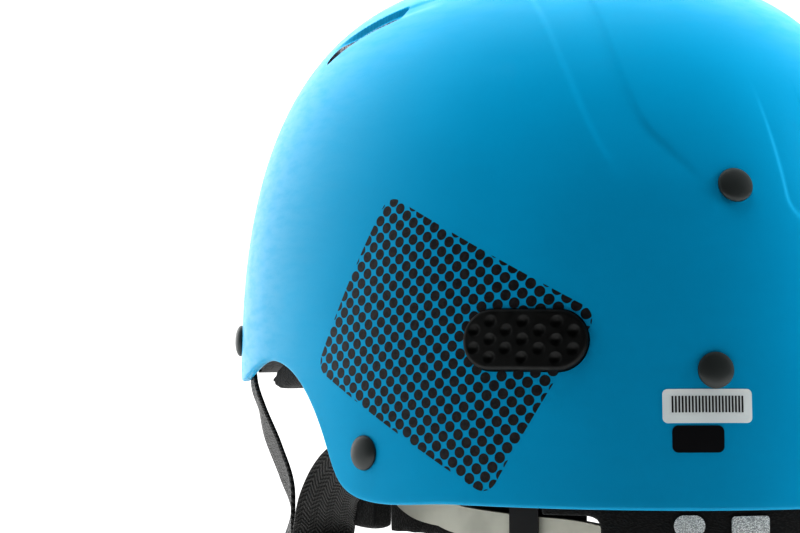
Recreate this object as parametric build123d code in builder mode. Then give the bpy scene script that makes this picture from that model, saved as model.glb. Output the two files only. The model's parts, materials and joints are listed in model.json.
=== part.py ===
from build123d import *
import os
from functools import lru_cache
from math import atan2, cos, pi, radians, sin, sqrt, tan

# A half-cut helmet for white-water sport: a moulded shell on a foam liner with comfort pads,
# a four-point strap harness, and a dial-adjusted cradle that grips the back of the head.
#
# Millimetres.  +Z is up, the brow faces -Y, the wearer's left is +X, and the origin is the
# middle of the head opening, level with the rim at the nape.

os.makedirs("parts", exist_ok=True)

# ---------------------------------------------------------------- driving dimensions
HALF_LENGTH = 140.0          # of the outer skin at the rim, front to back
HALF_WIDTH = 115.7           # of the outer skin at the rim, side to side
CROWN_HEIGHT = 177.1         # of the outer skin above the rim
ROUNDNESS = 2.85             # exponent of the profile: 2 is an ellipse, more is boxier
CROWN_LEAN = -14.0 / 177.1   # forward shift of the section for each millimetre of height
SKIRT = 60.0                 # how far a construction dome runs on below the rim

SHELL_THICKNESS = 3.0
LINER_OUTER = 3.3            # insets from the outer skin
LINER_INNER = 23.0
PAD_OUTER = 23.3
PAD_INNER = 31.0
LINER_RIM_STEP = 3.0         # the liner stops this far above the shell's rim

BROW_HEIGHT = 41.0           # the rim's height at the front
TEMPLE = (-58.0, 34.4)       # low corner of the rim in front of the ear: y, z
ARCH_TOP = (-22.0, 42.1)     # top of the ear arch
LOBE_FRONT = (20.0, 16.5)    # a point down the front edge of the ear lobe
LOBE_LOW = (43.0, -1.0)      # lowest point of the lobe

RIVET_CAP_RADIUS = 5.5
RIVET_CAP_HEIGHT = 2.4
RIVET_STEM_RADIUS = 2.5
TEMPLE_RIVET = (119.7, 48.0)       # bearing from the nape in degrees, height
EAR_RIVET = (72.8, 14.4)
UPPER_REAR_RIVET = (13.3, 97.4)
LOWER_REAR_RIVET = (19.5, 41.6)

PLUG_BEARING = 46.4
PLUG_HEIGHT = 50.4
PLUG_LENGTH = 40.0
PLUG_WIDTH = 18.7
PLUG_PROUD = 1.8
DIMPLE_PITCH = 5.0
DIMPLE_RADIUS = 1.8

WEB_WIDTH = 20.0
WEB_THICKNESS = 1.5
WEB_TOP_OUTER = 3.9          # inset of the webbing held between shell and liner

STUD_Y = 30.0                # axis on which the cradle tilts
STUD_Z = 12.0
STUD_RADIUS = 3.0
STUD_CLEARANCE = 0.35
ARM_OUTER = 27.0             # insets of the cradle's bands
ARM_INNER = 29.2
ARM_HEIGHT = 9.0
ARM_END_X = 36.5             # a band ends here and its rack begins
ARM_TRAVEL = 6.0

DIAL_Z = -24.0               # height of the dial's axis
RACK_Y = 102.8
RACK_THICKNESS = 2.4
MODULE = 0.8
TEETH = 10
ADDENDUM = 0.5
DEDENDUM = 0.75
BACKLASH = 0.22
PRESSURE_ANGLE = 20.0
RACK_BACK = 3.2
PITCH_RADIUS = MODULE * TEETH / 2

HOUSING_HALF_LENGTH = 27.0
HOUSING_HALF_HEIGHT = 13.0
KNOB_RADIUS = 15.0
KNOB_DEPTH = 9.6
KNOB_SCALLOPS = 12

HARNESS_FRONT = (101.2, -56.0, 29.5)   # where the front strap leaves the helmet
HARNESS_REAR = (110.0, 16.0, 2.0)      # where the rear strap leaves it
DIVIDER_Y = -2.0
DIVIDER_Z = -44.0
BAR = 2.6                              # webbing bars of the divider and the buckle
PLATE = 3.0
LOOP_INNER = 2.4


# ---------------------------------------------------------------- the dome and its places
def profile(height_share):
    """Radius of the profile, from 1 at the rim to 0 at the crown."""
    return (1 - height_share**ROUNDNESS) ** (1 / ROUNDNESS)


@lru_cache(maxsize=None)
def dome(inset):
    """A solid dome, its skin this far inside the outer skin, with straight walls below the rim."""
    top = CROWN_HEIGHT - inset
    sections = 16
    last_turn = 0.983 * pi / 2
    with BuildPart() as solid:
        for i in range(sections):
            turn = last_turn * i / (sections - 1)
            height = top * sin(turn) ** (2 / ROUNDNESS)
            share = cos(turn) ** (2 / ROUNDNESS)
            with BuildSketch(Plane.XY.offset(height)):
                with Locations((0, CROWN_LEAN * height)):
                    Ellipse((HALF_WIDTH - inset) * share, (HALF_LENGTH - inset) * share)
        loft()
        with BuildSketch():
            Ellipse(HALF_WIDTH - inset, HALF_LENGTH - inset)
        extrude(amount=-SKIRT)
    return solid.part


@lru_cache(maxsize=None)
def layer(outer, inner):
    """The wall between two insets."""
    with BuildPart() as wall:
        add(dome(outer))
        add(dome(inner), mode=Mode.SUBTRACT)
    return wall.part


def skin_plane(bearing, height, inset=0.0):
    """Tangent plane of the skin: z outwards, x level and towards the wearer's front."""
    share = max(0.0, height / CROWN_HEIGHT)
    across = HALF_WIDTH * profile(share) * sin(radians(bearing))
    along = HALF_LENGTH * profile(share) * cos(radians(bearing))
    slope_x = across / HALF_WIDTH**2
    slope_y = along / HALF_LENGTH**2
    closing = share ** (ROUNDNESS - 1) * (1 - share**ROUNDNESS) ** (2 / ROUNDNESS - 1)
    slope_z = closing / CROWN_HEIGHT - CROWN_LEAN * slope_y
    normal = Vector(slope_x, slope_y, slope_z).normalized()
    level = Vector(slope_y, -slope_x, 0).normalized()
    point = Vector(across, along + CROWN_LEAN * height, height) - normal * inset
    return Plane(origin=point, x_dir=level, z_dir=normal)


def mirrored_plane(plane):
    """The same place on the wearer's other side."""
    origin = Vector(-plane.origin.X, plane.origin.Y, plane.origin.Z)
    normal = Vector(-plane.z_dir.X, plane.z_dir.Y, plane.z_dir.Z)
    level = Vector(plane.x_dir.X, -plane.x_dir.Y, 0)
    return Plane(origin=origin, x_dir=level, z_dir=normal)


def both_sides(*places):
    """Skin planes at each (bearing, height), on the left and on the right."""
    left = [skin_plane(bearing, height) for bearing, height in places]
    return left + [mirrored_plane(plane) for plane in left]


def sector(start, stop, bottom, top):
    """A wedge about the crown's axis between two bearings and two heights."""
    reach = 1.6
    bearings = (start, (2 * start + stop) / 3, (start + 2 * stop) / 3, stop)
    rim = [
        (
            reach * HALF_WIDTH * sin(radians(bearing)),
            reach * HALF_LENGTH * cos(radians(bearing)),
        )
        for bearing in bearings
    ]
    with BuildPart() as wedge:
        with BuildSketch(Plane.XY.offset(bottom)):
            with BuildLine():
                Polyline((0, 0), *rim, close=True)
            make_face()
        extrude(amount=top - bottom)
    return wedge.part


def wall_piece(outer, inner, start, stop, bottom, top):
    """Part of a wall layer, as a pad that lies against the liner is."""
    with BuildPart() as piece:
        add(sector(start, stop, bottom, top))
        add(dome(outer), mode=Mode.INTERSECT)
        add(dome(inner), mode=Mode.SUBTRACT)
    return piece.part


def flipped(part):
    """The mirror image on the other side of the helmet."""
    with BuildPart() as other:
        mirror(part, about=Plane.YZ)
    return other.part


def save(part, name):
    """Label a finished piece and write it."""
    part.label = name
    export_step(part, f"parts/{name}.step")


# ---------------------------------------------------------------- the rim
def below_rim(step=0.0):
    """Everything under the rim line, which is raised by step: brow, ear arch, lobe and nape."""
    with BuildPart() as under:
        with BuildSketch(Plane.YZ.offset(-150)):
            with BuildLine():
                Spline(
                    (-170, BROW_HEIGHT + step),
                    (-110, 38.5 + step),
                    (TEMPLE[0], TEMPLE[1] + step),
                    (-40, 38.4 + step),
                    (ARCH_TOP[0], ARCH_TOP[1] + step),
                    (0, 37.6 + step),
                    (LOBE_FRONT[0], LOBE_FRONT[1] + step),
                    (29, 3.4 + step),
                    (LOBE_LOW[0], LOBE_LOW[1] + step),
                    (75, step),
                    tangents=((1, -0.04), (1, 0)),
                )
                Polyline(
                    (75, step), (170, step), (170, -80), (-170, -80), (-170, BROW_HEIGHT + step)
                )
            make_face()
        extrude(amount=300)
    return under.part


# ---------------------------------------------------------------- vents and plug seats
VENT_MIDDLE = (77.5, -21.0)      # x, y of the slot seen from above
VENT_LENGTH = 34.0
VENT_WIDTH = 6.5
VENT_TURN = 108.0                # the slot's direction in plan, from +X


def vents(extra):
    """The two crown vents as upright slots, this much larger all round."""
    with BuildPart() as slots:
        with BuildSketch(Plane.XY.offset(110)):
            for side in (1, -1):
                with Locations((side * VENT_MIDDLE[0], VENT_MIDDLE[1])):
                    turn = VENT_TURN if side == 1 else 180 - VENT_TURN
                    SlotOverall(VENT_LENGTH + 2 * extra, VENT_WIDTH + 2 * extra, rotation=turn)
        extrude(amount=80)
    return slots.part


def plug_prism(length, width, inner, outer):
    """A stadium prism through the side wall, from inset inner out to inset outer."""
    seat = skin_plane(PLUG_BEARING, PLUG_HEIGHT, inner)
    with BuildPart() as prism:
        with BuildSketch(seat):
            SlotOverall(length, width)
        extrude(amount=inner - outer)
    return prism.part


# ---------------------------------------------------------------- outer shell
rivet_places = both_sides(TEMPLE_RIVET, EAR_RIVET, UPPER_REAR_RIVET, LOWER_REAR_RIVET)
plug_seat_left = plug_prism(PLUG_LENGTH + 0.6, PLUG_WIDTH + 0.6, 8, -8)

with BuildPart() as outer_shell:
    add(layer(0, SHELL_THICKNESS))
    add(below_rim(), mode=Mode.SUBTRACT)
    add(vents(0), mode=Mode.SUBTRACT)
    add([plug_seat_left, flipped(plug_seat_left)], mode=Mode.SUBTRACT)
    with Locations(*rivet_places):
        Cylinder(RIVET_STEM_RADIUS + 0.2, 12, mode=Mode.SUBTRACT)
save(outer_shell.part, "outer_shell")


# ---------------------------------------------------------------- webbing held in the helmet
front_length = sqrt(
    (HARNESS_REAR[0] - HARNESS_FRONT[0]) ** 2 + (HARNESS_REAR[1] - HARNESS_FRONT[1]) ** 2
)
hinge_fall = (HARNESS_REAR[2] - HARNESS_FRONT[2]) / (HARNESS_REAR[1] - HARNESS_FRONT[1])


def hinge_height(y, gap=0.0):
    """Height at y of the line that joins the two strap exits."""
    return HARNESS_FRONT[2] + hinge_fall * (y - HARNESS_FRONT[1]) + gap


def strap_top(rivet, first_y, last_y, grow, outer, inner):
    """Webbing between shell and liner, from its rivet down to the line of the exits."""
    anchor = skin_plane(*rivet).origin
    exit_y = (first_y + last_y) / 2
    run = Vector(exit_y - anchor.Y, hinge_height(exit_y) - anchor.Z)
    side = Vector(-run.Y, run.X).normalized() * (WEB_WIDTH / 2 - 0.2)
    with BuildPart() as top:
        with BuildSketch(Plane.YZ):
            with BuildLine():
                Polyline(
                    (anchor.Y - side.X, anchor.Z - side.Y),
                    (first_y, hinge_height(first_y, 0.6)),
                    (last_y, hinge_height(last_y, 0.6)),
                    (anchor.Y + side.X, anchor.Z + side.Y),
                    close=True,
                )
            make_face()
            with Locations((anchor.Y, anchor.Z)):
                Circle(WEB_WIDTH / 2 - 0.2)
            if grow:
                offset(amount=grow)
        extrude(amount=150)
        add(layer(outer, inner), mode=Mode.INTERSECT)
    return top.part


web_top_inner = WEB_TOP_OUTER + WEB_THICKNESS
front_exit = (-66.0, -46.0)
rear_exit = (7.0, 26.0)
front_channel = strap_top(TEMPLE_RIVET, *front_exit, 1.2, 3.0, 6.2)
rear_channel = strap_top(EAR_RIVET, *rear_exit, 1.2, 3.0, 6.2)

for name, rivet, exits in (
    ("front_strap_top", TEMPLE_RIVET, front_exit),
    ("rear_strap_top", EAR_RIVET, rear_exit),
):
    with BuildPart() as held_webbing:
        add(strap_top(rivet, *exits, 0, WEB_TOP_OUTER, web_top_inner))
        with Locations(skin_plane(*rivet)):
            Cylinder(RIVET_STEM_RADIUS + 0.2, 24, mode=Mode.SUBTRACT)
    save(held_webbing.part, f"{name}_left")
    save(flipped(held_webbing.part), f"{name}_right")


# ---------------------------------------------------------------- impact liner
STUD_PLATE = 9.0
stud_seat_x = 89.0
duct_left = plug_prism(PLUG_LENGTH - 7, PLUG_WIDTH - 7, 34, -2)
washer_pockets = both_sides(TEMPLE_RIVET, EAR_RIVET)
rear_pockets = both_sides(UPPER_REAR_RIVET, LOWER_REAR_RIVET)

with BuildPart() as impact_liner:
    add(layer(LINER_OUTER, LINER_INNER))
    add(below_rim(LINER_RIM_STEP), mode=Mode.SUBTRACT)
    add(vents(2.0), mode=Mode.SUBTRACT)
    add([duct_left, flipped(duct_left)], mode=Mode.SUBTRACT)
    for channel in (front_channel, rear_channel):
        add([channel, flipped(channel)], mode=Mode.SUBTRACT)
    with Locations(*washer_pockets):
        Cylinder(8.0, 18.0, mode=Mode.SUBTRACT)
    with Locations(*rear_pockets):
        Cylinder(8.0, 13.0, mode=Mode.SUBTRACT)
    with Locations(
        Location((stud_seat_x - 5, STUD_Y, STUD_Z), (0, 90, 0)),
        Location((-stud_seat_x + 5, STUD_Y, STUD_Z), (0, 90, 0)),
    ):
        Cylinder(STUD_PLATE + 0.4, 16.0, mode=Mode.SUBTRACT)
save(impact_liner.part, "impact_liner")


# ---------------------------------------------------------------- rivets and washers
def rivet(stem):
    """A domed rivet, its cap's underside at the local origin and its stem going inwards."""
    with BuildPart() as fastener:
        with BuildSketch():
            Circle(RIVET_CAP_RADIUS)
        extrude(amount=RIVET_CAP_HEIGHT)
        fillet(fastener.faces().sort_by(Axis.Z)[-1].edges(), RIVET_CAP_HEIGHT - 0.5)
        with BuildSketch():
            Circle(RIVET_STEM_RADIUS)
        extrude(amount=-stem)
    return fastener.part


def washer(depth, thickness):
    """A ring round a rivet's stem, its outer face this deep under the skin."""
    with BuildPart() as ring:
        with BuildSketch(Plane.XY.offset(-depth)):
            Circle(6.5)
            Circle(RIVET_STEM_RADIUS + 0.15, mode=Mode.SUBTRACT)
        extrude(amount=-thickness)
    return ring.part


strap_places = both_sides(TEMPLE_RIVET, EAR_RIVET)
rear_places = both_sides(UPPER_REAR_RIVET, LOWER_REAR_RIVET)
for name, piece, places in (
    ("strap_rivets", rivet(7.6), strap_places),
    ("strap_washers", washer(5.8, 1.2), strap_places),
    ("liner_rivets", rivet(5.0), rear_places),
    ("liner_washers", washer(3.4, 1.2), rear_places),
):
    with BuildPart() as fasteners:
        with Locations(*places):
            add(piece)
    save(fasteners.part, name)


# ---------------------------------------------------------------- side vent plugs
def dimple_spots():
    """Staggered columns of two and three dimples."""
    spots = []
    for column in range(-3, 4):
        rows = (-0.5, 0.5) if column % 2 else (-1, 0, 1)
        spots += [(column * DIMPLE_PITCH, row * DIMPLE_PITCH) for row in rows]
    return spots


with BuildPart() as side_plug:
    add(plug_prism(PLUG_LENGTH, PLUG_WIDTH, 10, -8))
    add(layer(-PLUG_PROUD, SHELL_THICKNESS), mode=Mode.INTERSECT)
    add(plug_prism(PLUG_LENGTH - 8, PLUG_WIDTH - 8, 12, SHELL_THICKNESS - 1))
    with Locations(skin_plane(PLUG_BEARING, PLUG_HEIGHT)):
        for spot in dimple_spots():
            bulge = spot[0] ** 2 / 250
            with Locations((spot[0], spot[1], PLUG_PROUD - bulge + 0.9)):
                Sphere(DIMPLE_RADIUS, mode=Mode.SUBTRACT)
save(side_plug.part, "side_plug_left")
save(flipped(side_plug.part), "side_plug_right")


# ---------------------------------------------------------------- stickers and sewn tags
def sticker(bearing, height, size, corner, inset):
    """A thin rounded rectangle lying on the surface at an inset."""
    seat = skin_plane(bearing, height, inset + 3)
    with BuildPart() as patch:
        with BuildSketch(seat):
            RectangleRounded(*size, corner)
        extrude(amount=8)
        add(layer(inset - 0.2, inset), mode=Mode.INTERSECT)
    return patch.part


FLAP_OUTER = 7.5
FLAP_INNER = 11.5
save(sticker(21.0, 31.0, (27.0, 10.2), 1.6, 0.0), "rear_label")
save(sticker(22.6, 21.2, (15.5, 8.0), 1.8, 0.0), "rear_patch")
save(sticker(14.2, -6.0, (12.0, 8.6), 1.2, FLAP_OUTER), "size_tag")
save(sticker(24.0, -4.6, (9.4, 6.4), 3.1, FLAP_OUTER), "round_tag")


# ---------------------------------------------------------------- comfort padding
with BuildPart() as nape_flap:
    add(wall_piece(FLAP_OUTER, FLAP_INNER, -37, 37, -12, 2.7))
    add(wall_piece(FLAP_OUTER, FLAP_INNER, -46, 46, -3.5, 2.7))
save(nape_flap.part, "nape_flap")
save(wall_piece(PAD_OUTER, PAD_INNER, 132, 228, 48, 76), "brow_pad")
with BuildPart() as crown_pad:
    add(layer(PAD_OUTER, PAD_INNER))
    with BuildSketch(Plane.XY.offset(110), mode=Mode.PRIVATE) as crown_disc:
        with Locations((0, -8)):
            Circle(44)
    extrude(crown_disc.sketch, amount=60, mode=Mode.INTERSECT)
save(crown_pad.part, "crown_pad")

with BuildPart() as ear_pad:
    with BuildSketch(Plane.YZ):
        with BuildLine():
            ThreePointArc((-46, 37.6), (-22, 44.0), (1, 37.6))
            Spline((1, 37.6), (-7, 34.4), (-30, 33.4), (-46, 37.6))
        make_face()
    extrude(amount=150)
    add(layer(7, 20), mode=Mode.INTERSECT)

soft_pairs = {
    "side_pad": wall_piece(PAD_OUTER, PAD_INNER, 76, 112, 50, 84),
    "rear_pad": wall_piece(PAD_OUTER, PAD_INNER, 16, 58, 34, 66),
    "lobe_pad": wall_piece(12, 22, 76.5, 83, -12, 1.4),
    "ear_pad": ear_pad.part,
}
for name, pad in soft_pairs.items():
    save(pad, f"{name}_left")
    save(flipped(pad), f"{name}_right")


# ---------------------------------------------------------------- cradle studs
STUD_TIP_X = 75.0
with BuildPart() as cradle_stud:
    with BuildSketch(Plane.YZ.offset(stud_seat_x)):
        with Locations((STUD_Y, STUD_Z)):
            Circle(STUD_PLATE)
    extrude(amount=2.5)
    with BuildSketch(Plane.YZ.offset(stud_seat_x)):
        with Locations((STUD_Y, STUD_Z)):
            Circle(STUD_RADIUS)
    extrude(amount=STUD_TIP_X - stud_seat_x)
    chamfer(cradle_stud.faces().sort_by(Axis.X)[0].edges(), 0.8)
save(cradle_stud.part, "cradle_stud_left")
save(flipped(cradle_stud.part), "cradle_stud_right")


# ---------------------------------------------------------------- cradle arms with their racks
def facing_front(y):
    """An upright plane at y, centred on the dial, x to the wearer's left, its normal forwards."""
    return Plane(origin=(0, y, DIAL_Z), x_dir=(1, 0, 0), z_dir=(0, -1, 0))


def rack_outline(upper):
    """A toothed bar in x, z about the dial's axis: teeth face the axis, a gap is at x = 0."""
    pitch = pi * MODULE
    lean = tan(radians(PRESSURE_ANGLE))
    tip = ADDENDUM
    root = DEDENDUM
    half = pitch / 4 - BACKLASH / 2
    points = []
    for tooth in range(-8, 4):
        middle = (tooth + 0.5) * pitch
        points += [
            (middle - half - lean * root, root),
            (middle - half + lean * tip, -tip),
            (middle + half - lean * tip, -tip),
            (middle + half + lean * root, root),
        ]
    outline = [(x, PITCH_RADIUS + rise) for x, rise in points]
    back = PITCH_RADIUS + DEDENDUM + RACK_BACK
    foot = PITCH_RADIUS + DEDENDUM
    outline = [(-21.5, back), (-21.5, foot), *outline, (ARM_END_X + 3, foot), (ARM_END_X + 3, back)]
    return outline if upper else [(x, -z) for x, z in outline]


def cradle_arm(upper):
    """A left-hand band from the stud's eye round to the nape, and its rack."""
    rise = (PITCH_RADIUS + DEDENDUM + RACK_BACK / 2) * (1 if upper else -1)
    with BuildPart() as arm:
        with BuildSketch(Plane.YZ.offset(ARM_END_X)):
            with BuildLine():
                Spline(
                    (STUD_Y, STUD_Z),
                    (41, -5.5),
                    (56, -8.2),
                    (74, -9.5),
                    (88, -13.0 + 0.25 * rise),
                    (98, DIAL_Z + 3.0 + 0.75 * rise),
                    (108, DIAL_Z + rise),
                )
            trace(line_width=ARM_HEIGHT)
            with Locations((STUD_Y, STUD_Z)):
                Circle(7.0)
            with BuildLine():
                Spline((21.5, 15), (14.8, 5), (15.6, -1), (20.4, -4.9), (28, -8), (36, -9.4), (49, -10.6))
                Polyline((49, -10.6), (49, -7.5), (41, -5.5), (STUD_Y, STUD_Z), (21.5, 15))
            make_face()
        extrude(amount=80)
        add(layer(ARM_OUTER, ARM_INNER), mode=Mode.INTERSECT)
        with BuildSketch(facing_front(RACK_Y + RACK_THICKNESS / 2)):
            with BuildLine():
                Polyline(*rack_outline(upper), close=True)
            make_face()
        extrude(amount=RACK_THICKNESS)
        with Locations(Location((STUD_TIP_X, STUD_Y, STUD_Z), (0, 90, 0))):
            Cylinder(STUD_RADIUS + STUD_CLEARANCE, 60, mode=Mode.SUBTRACT)
    return arm.part


left_arm = cradle_arm(True)
right_arm = flipped(cradle_arm(False))
save(left_arm, "left_arm")
save(right_arm, "right_arm")

height_tab = wall_piece(25.5, 26.7, 47.5, 53.0, -20, 14)
save(height_tab, "height_tab_left")
save(flipped(height_tab), "height_tab_right")

band_lining = wall_piece(ARM_INNER, ARM_INNER + 3.3, 38, 84, -14, 2)
save(band_lining, "band_lining_left")
save(flipped(band_lining), "band_lining_right")


# ---------------------------------------------------------------- dial, pinion and housing
def pinion_outline():
    """Straight-flanked teeth, one of them pointing up."""
    outer = PITCH_RADIUS + ADDENDUM
    inner = PITCH_RADIUS - DEDENDUM
    lean = tan(radians(PRESSURE_ANGLE))
    half = pi * MODULE / 4 - BACKLASH / 2
    points = []
    for tooth in range(TEETH):
        turn = 2 * pi * tooth / TEETH
        for offset_side, radius in ((-1, inner), (-1, outer), (1, outer), (1, inner)):
            wide = offset_side * (half - lean * (radius - PITCH_RADIUS))
            points.append(
                (
                    wide * cos(turn) + radius * sin(turn),
                    radius * cos(turn) - wide * sin(turn),
                )
            )
    return points


housing_front = RACK_Y - RACK_THICKNESS / 2 - 0.4
cavity_back = RACK_Y + RACK_THICKNESS / 2 + 0.4
housing_back = cavity_back + 4.4
rack_reach = PITCH_RADIUS + DEDENDUM + RACK_BACK + 0.4
SHAFT_RADIUS = 3.2
knob_front = housing_back + 0.4
knob_back = knob_front + KNOB_DEPTH


def facing_rear(y):
    """An upright plane across the helmet at y, centred on the dial, its normal to the rear."""
    return Plane(origin=(0, y, DIAL_Z), x_dir=(-1, 0, 0), z_dir=(0, 1, 0))


screw_spots = [
    (x, z)
    for x in (-HOUSING_HALF_LENGTH + 5, HOUSING_HALF_LENGTH - 5)
    for z in (-HOUSING_HALF_HEIGHT + 2.2, HOUSING_HALF_HEIGHT - 2.2)
]

with BuildPart() as cradle_housing:
    with BuildSketch(facing_rear(housing_front)):
        RectangleRounded(2 * HOUSING_HALF_LENGTH, 2 * HOUSING_HALF_HEIGHT, 5)
    extrude(amount=housing_back - housing_front)
    fillet(cradle_housing.faces().sort_by(Axis.Y)[-1].edges(), 2)
    with BuildSketch(facing_rear(housing_front)):
        Rectangle(2 * HOUSING_HALF_LENGTH + 2, 2 * rack_reach)
    extrude(amount=cavity_back - housing_front, mode=Mode.SUBTRACT)
    with BuildSketch(facing_rear(housing_front)):
        Circle(SHAFT_RADIUS + 0.06)
    extrude(amount=20, mode=Mode.SUBTRACT)
    with BuildSketch(facing_rear(housing_front)):
        with Locations(*screw_spots):
            Circle(0.95)
    extrude(amount=5, mode=Mode.SUBTRACT)
save(cradle_housing.part, "cradle_housing")

COVER_THICKNESS = 3.2
with BuildPart() as housing_cover:
    with BuildSketch(facing_rear(housing_front)):
        RectangleRounded(2 * HOUSING_HALF_LENGTH, 2 * HOUSING_HALF_HEIGHT, 5)
        with Locations(*screw_spots):
            Circle(1.05, mode=Mode.SUBTRACT)
    extrude(amount=-COVER_THICKNESS)
    with BuildSketch(facing_rear(housing_front - COVER_THICKNESS)):
        with Locations(*screw_spots):
            Circle(1.9)
    extrude(amount=1.2, mode=Mode.SUBTRACT)
save(housing_cover.part, "housing_cover")

with BuildPart() as housing_screws:
    with BuildSketch(facing_rear(housing_front - COVER_THICKNESS + 0.1)):
        with Locations(*screw_spots):
            Circle(1.75)
    extrude(amount=1.0)
    with BuildSketch(facing_rear(housing_front - COVER_THICKNESS + 1.1)):
        with Locations(*screw_spots):
            Circle(0.9)
    extrude(amount=5.6)
save(housing_screws.part, "housing_screws")

CRADLE_PAD_THICKNESS = 7.0
with BuildPart() as cradle_pad:
    with BuildSketch(facing_rear(housing_front - COVER_THICKNESS - 0.3)):
        RectangleRounded(64, 30, 8)
    extrude(amount=-CRADLE_PAD_THICKNESS)
    fillet(cradle_pad.faces().sort_by(Axis.Y)[0].edges(), 3)
save(cradle_pad.part, "cradle_pad")

with BuildPart() as dial_pinion:
    with BuildSketch(facing_front(RACK_Y + RACK_THICKNESS / 2 + 0.1)):
        with BuildLine():
            Polyline(*pinion_outline(), close=True)
        make_face()
    extrude(amount=RACK_THICKNESS + 0.2)
    with BuildSketch(facing_rear(RACK_Y)):
        Circle(SHAFT_RADIUS)
    extrude(amount=knob_back - 3.6 - RACK_Y)
    with BuildSketch(facing_rear(knob_back - 3.6)):
        Circle(1.3)
    extrude(amount=-8, mode=Mode.SUBTRACT)
save(dial_pinion.part, "dial_pinion")

with BuildPart() as dial_knob:
    with BuildSketch(facing_rear(knob_front)):
        Circle(KNOB_RADIUS)
        with PolarLocations(KNOB_RADIUS + 1.6, KNOB_SCALLOPS):
            Circle(2.9, mode=Mode.SUBTRACT)
    extrude(amount=KNOB_DEPTH)
    fillet(dial_knob.faces().sort_by(Axis.Y)[-1].outer_wire().edges(), 0.9)
    with BuildSketch(facing_rear(knob_front)):
        Circle(SHAFT_RADIUS + 0.05)
    extrude(amount=KNOB_DEPTH - 3.55, mode=Mode.SUBTRACT)
    with BuildSketch(facing_rear(knob_back)):
        Circle(3.4)
    extrude(amount=-2.2, mode=Mode.SUBTRACT)
    with BuildSketch(facing_rear(knob_back)):
        Circle(1.55)
    extrude(amount=-5, mode=Mode.SUBTRACT)
save(dial_knob.part, "dial_knob")

with BuildPart() as dial_screw:
    with BuildSketch(facing_rear(knob_back - 2.15)):
        Circle(2.9)
    extrude(amount=1.6)
    fillet(dial_screw.faces().sort_by(Axis.Y)[-1].edges(), 0.6)
    with BuildSketch(facing_rear(knob_back - 2.15)):
        Circle(1.25)
    extrude(amount=-8)
    with BuildSketch(facing_rear(knob_back - 0.55)):
        Rectangle(3.2, 0.7)
        Rectangle(0.7, 3.2)
    extrude(amount=-0.9, mode=Mode.SUBTRACT)
save(dial_screw.part, "dial_screw")


# ---------------------------------------------------------------- harness, drawn on its own plane
# The left harness hangs in the upright plane through its two exits.  On that plane s runs
# level to the rear from the front exit, and h is the height above the rim.
heading = Vector(
    HARNESS_REAR[0] - HARNESS_FRONT[0], HARNESS_REAR[1] - HARNESS_FRONT[1], 0
).normalized()
HARNESS = Plane(
    origin=(HARNESS_FRONT[0], HARNESS_FRONT[1], 0),
    x_dir=heading,
    z_dir=heading.cross(Vector(0, 0, 1)),
)
front_s, front_h = 0.0, HARNESS_FRONT[2]
rear_s, rear_h = front_length, HARNESS_REAR[2]
hinge_slope = (rear_h - front_h) / front_length
divider_s = (DIVIDER_Y - HARNESS_FRONT[1]) / heading.Y
divider_h = DIVIDER_Z

# the divider's three webbing bars: each is square to the webbing that leaves it
BAR_REACH = 18.0
CHIN_REACH = 12.0
SPREAD = 12.0                          # degrees that the two upper bars stand apart
divider = Vector(divider_s, divider_h)
front_exit_at = Vector(front_s, front_h)
rear_exit_at = Vector(rear_s, rear_h)


def upper_bar(exit_at, spread):
    """Middle of an upper bar, and the direction from it to the strap's exit."""
    out = (exit_at - divider).normalized().rotate(Axis.Z, spread)
    middle = divider + out * BAR_REACH
    return middle, (exit_at - middle).normalized()


front_bar = upper_bar(front_exit_at, SPREAD)
rear_bar = upper_bar(rear_exit_at, -SPREAD)
chin_bar = (divider + Vector(0, -CHIN_REACH), Vector(0, -1))


def strip(start, stop, top_cut=None):
    """Outline of flat webbing between two points of the harness plane."""
    way = (stop - start).normalized()
    side = Vector(-way.Y, way.X) * (WEB_WIDTH / 2)
    near, far = [start + side, start - side], [stop - side, stop + side]
    if top_cut is not None:
        near = [corner + way * ((top_cut(corner.X) - corner.Y) / way.Y) for corner in near]
    return [(p.X, p.Y) for p in (*near, *far)]


def under_hinge(s):
    """Height just under the hinge line at s."""
    return front_h + hinge_slope * s - 0.6


def web_loop(middle, way, width=WEB_WIDTH):
    """A loop of webbing round a bar that runs square to the webbing."""
    across = Vector(-way.Y, way.X)
    start = middle - across * (width / 2)
    origin = HARNESS.from_local_coords(start)
    direction = HARNESS.from_local_coords(start + across) - origin
    with BuildPart() as loop:
        with BuildSketch(Plane(origin=origin, z_dir=direction)):
            Circle(LOOP_INNER + WEB_THICKNESS)
            Circle(LOOP_INNER, mode=Mode.SUBTRACT)
        extrude(amount=width)
    return loop.part


def webbing(start, start_bar, stop, stop_bar, top_cut=None):
    """Flat webbing with a loop at each end that is on a bar."""
    way = (stop - start).normalized()
    radius = LOOP_INNER + WEB_THICKNESS / 2
    first = start + way * radius if start_bar else start
    last = stop - way * radius if stop_bar else stop
    with BuildPart() as strap:
        with BuildSketch(HARNESS):
            with BuildLine():
                Polyline(*strip(first, last, top_cut), close=True)
            make_face()
        extrude(amount=WEB_THICKNESS / 2, both=True)
        if start_bar:
            add(web_loop(start, way))
        if stop_bar:
            add(web_loop(stop, way))
    return strap.part


front_strap = webbing(front_exit_at, False, front_bar[0], True, under_hinge)
rear_strap = webbing(rear_exit_at, False, rear_bar[0], True, under_hinge)
save(front_strap, "front_strap_left")
save(flipped(front_strap), "front_strap_right")
save(rear_strap, "rear_strap_left")
save(flipped(rear_strap), "rear_strap_right")


def window(middle, way, length, low, high):
    """Corners of a slot beside a bar, from low to high along the webbing's direction."""
    across = Vector(-way.Y, way.X) * (length / 2)
    corners = (
        middle + across + way * low,
        middle - across + way * low,
        middle - across + way * high,
        middle + across + way * high,
    )
    return [(p.X, p.Y) for p in corners]


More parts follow.
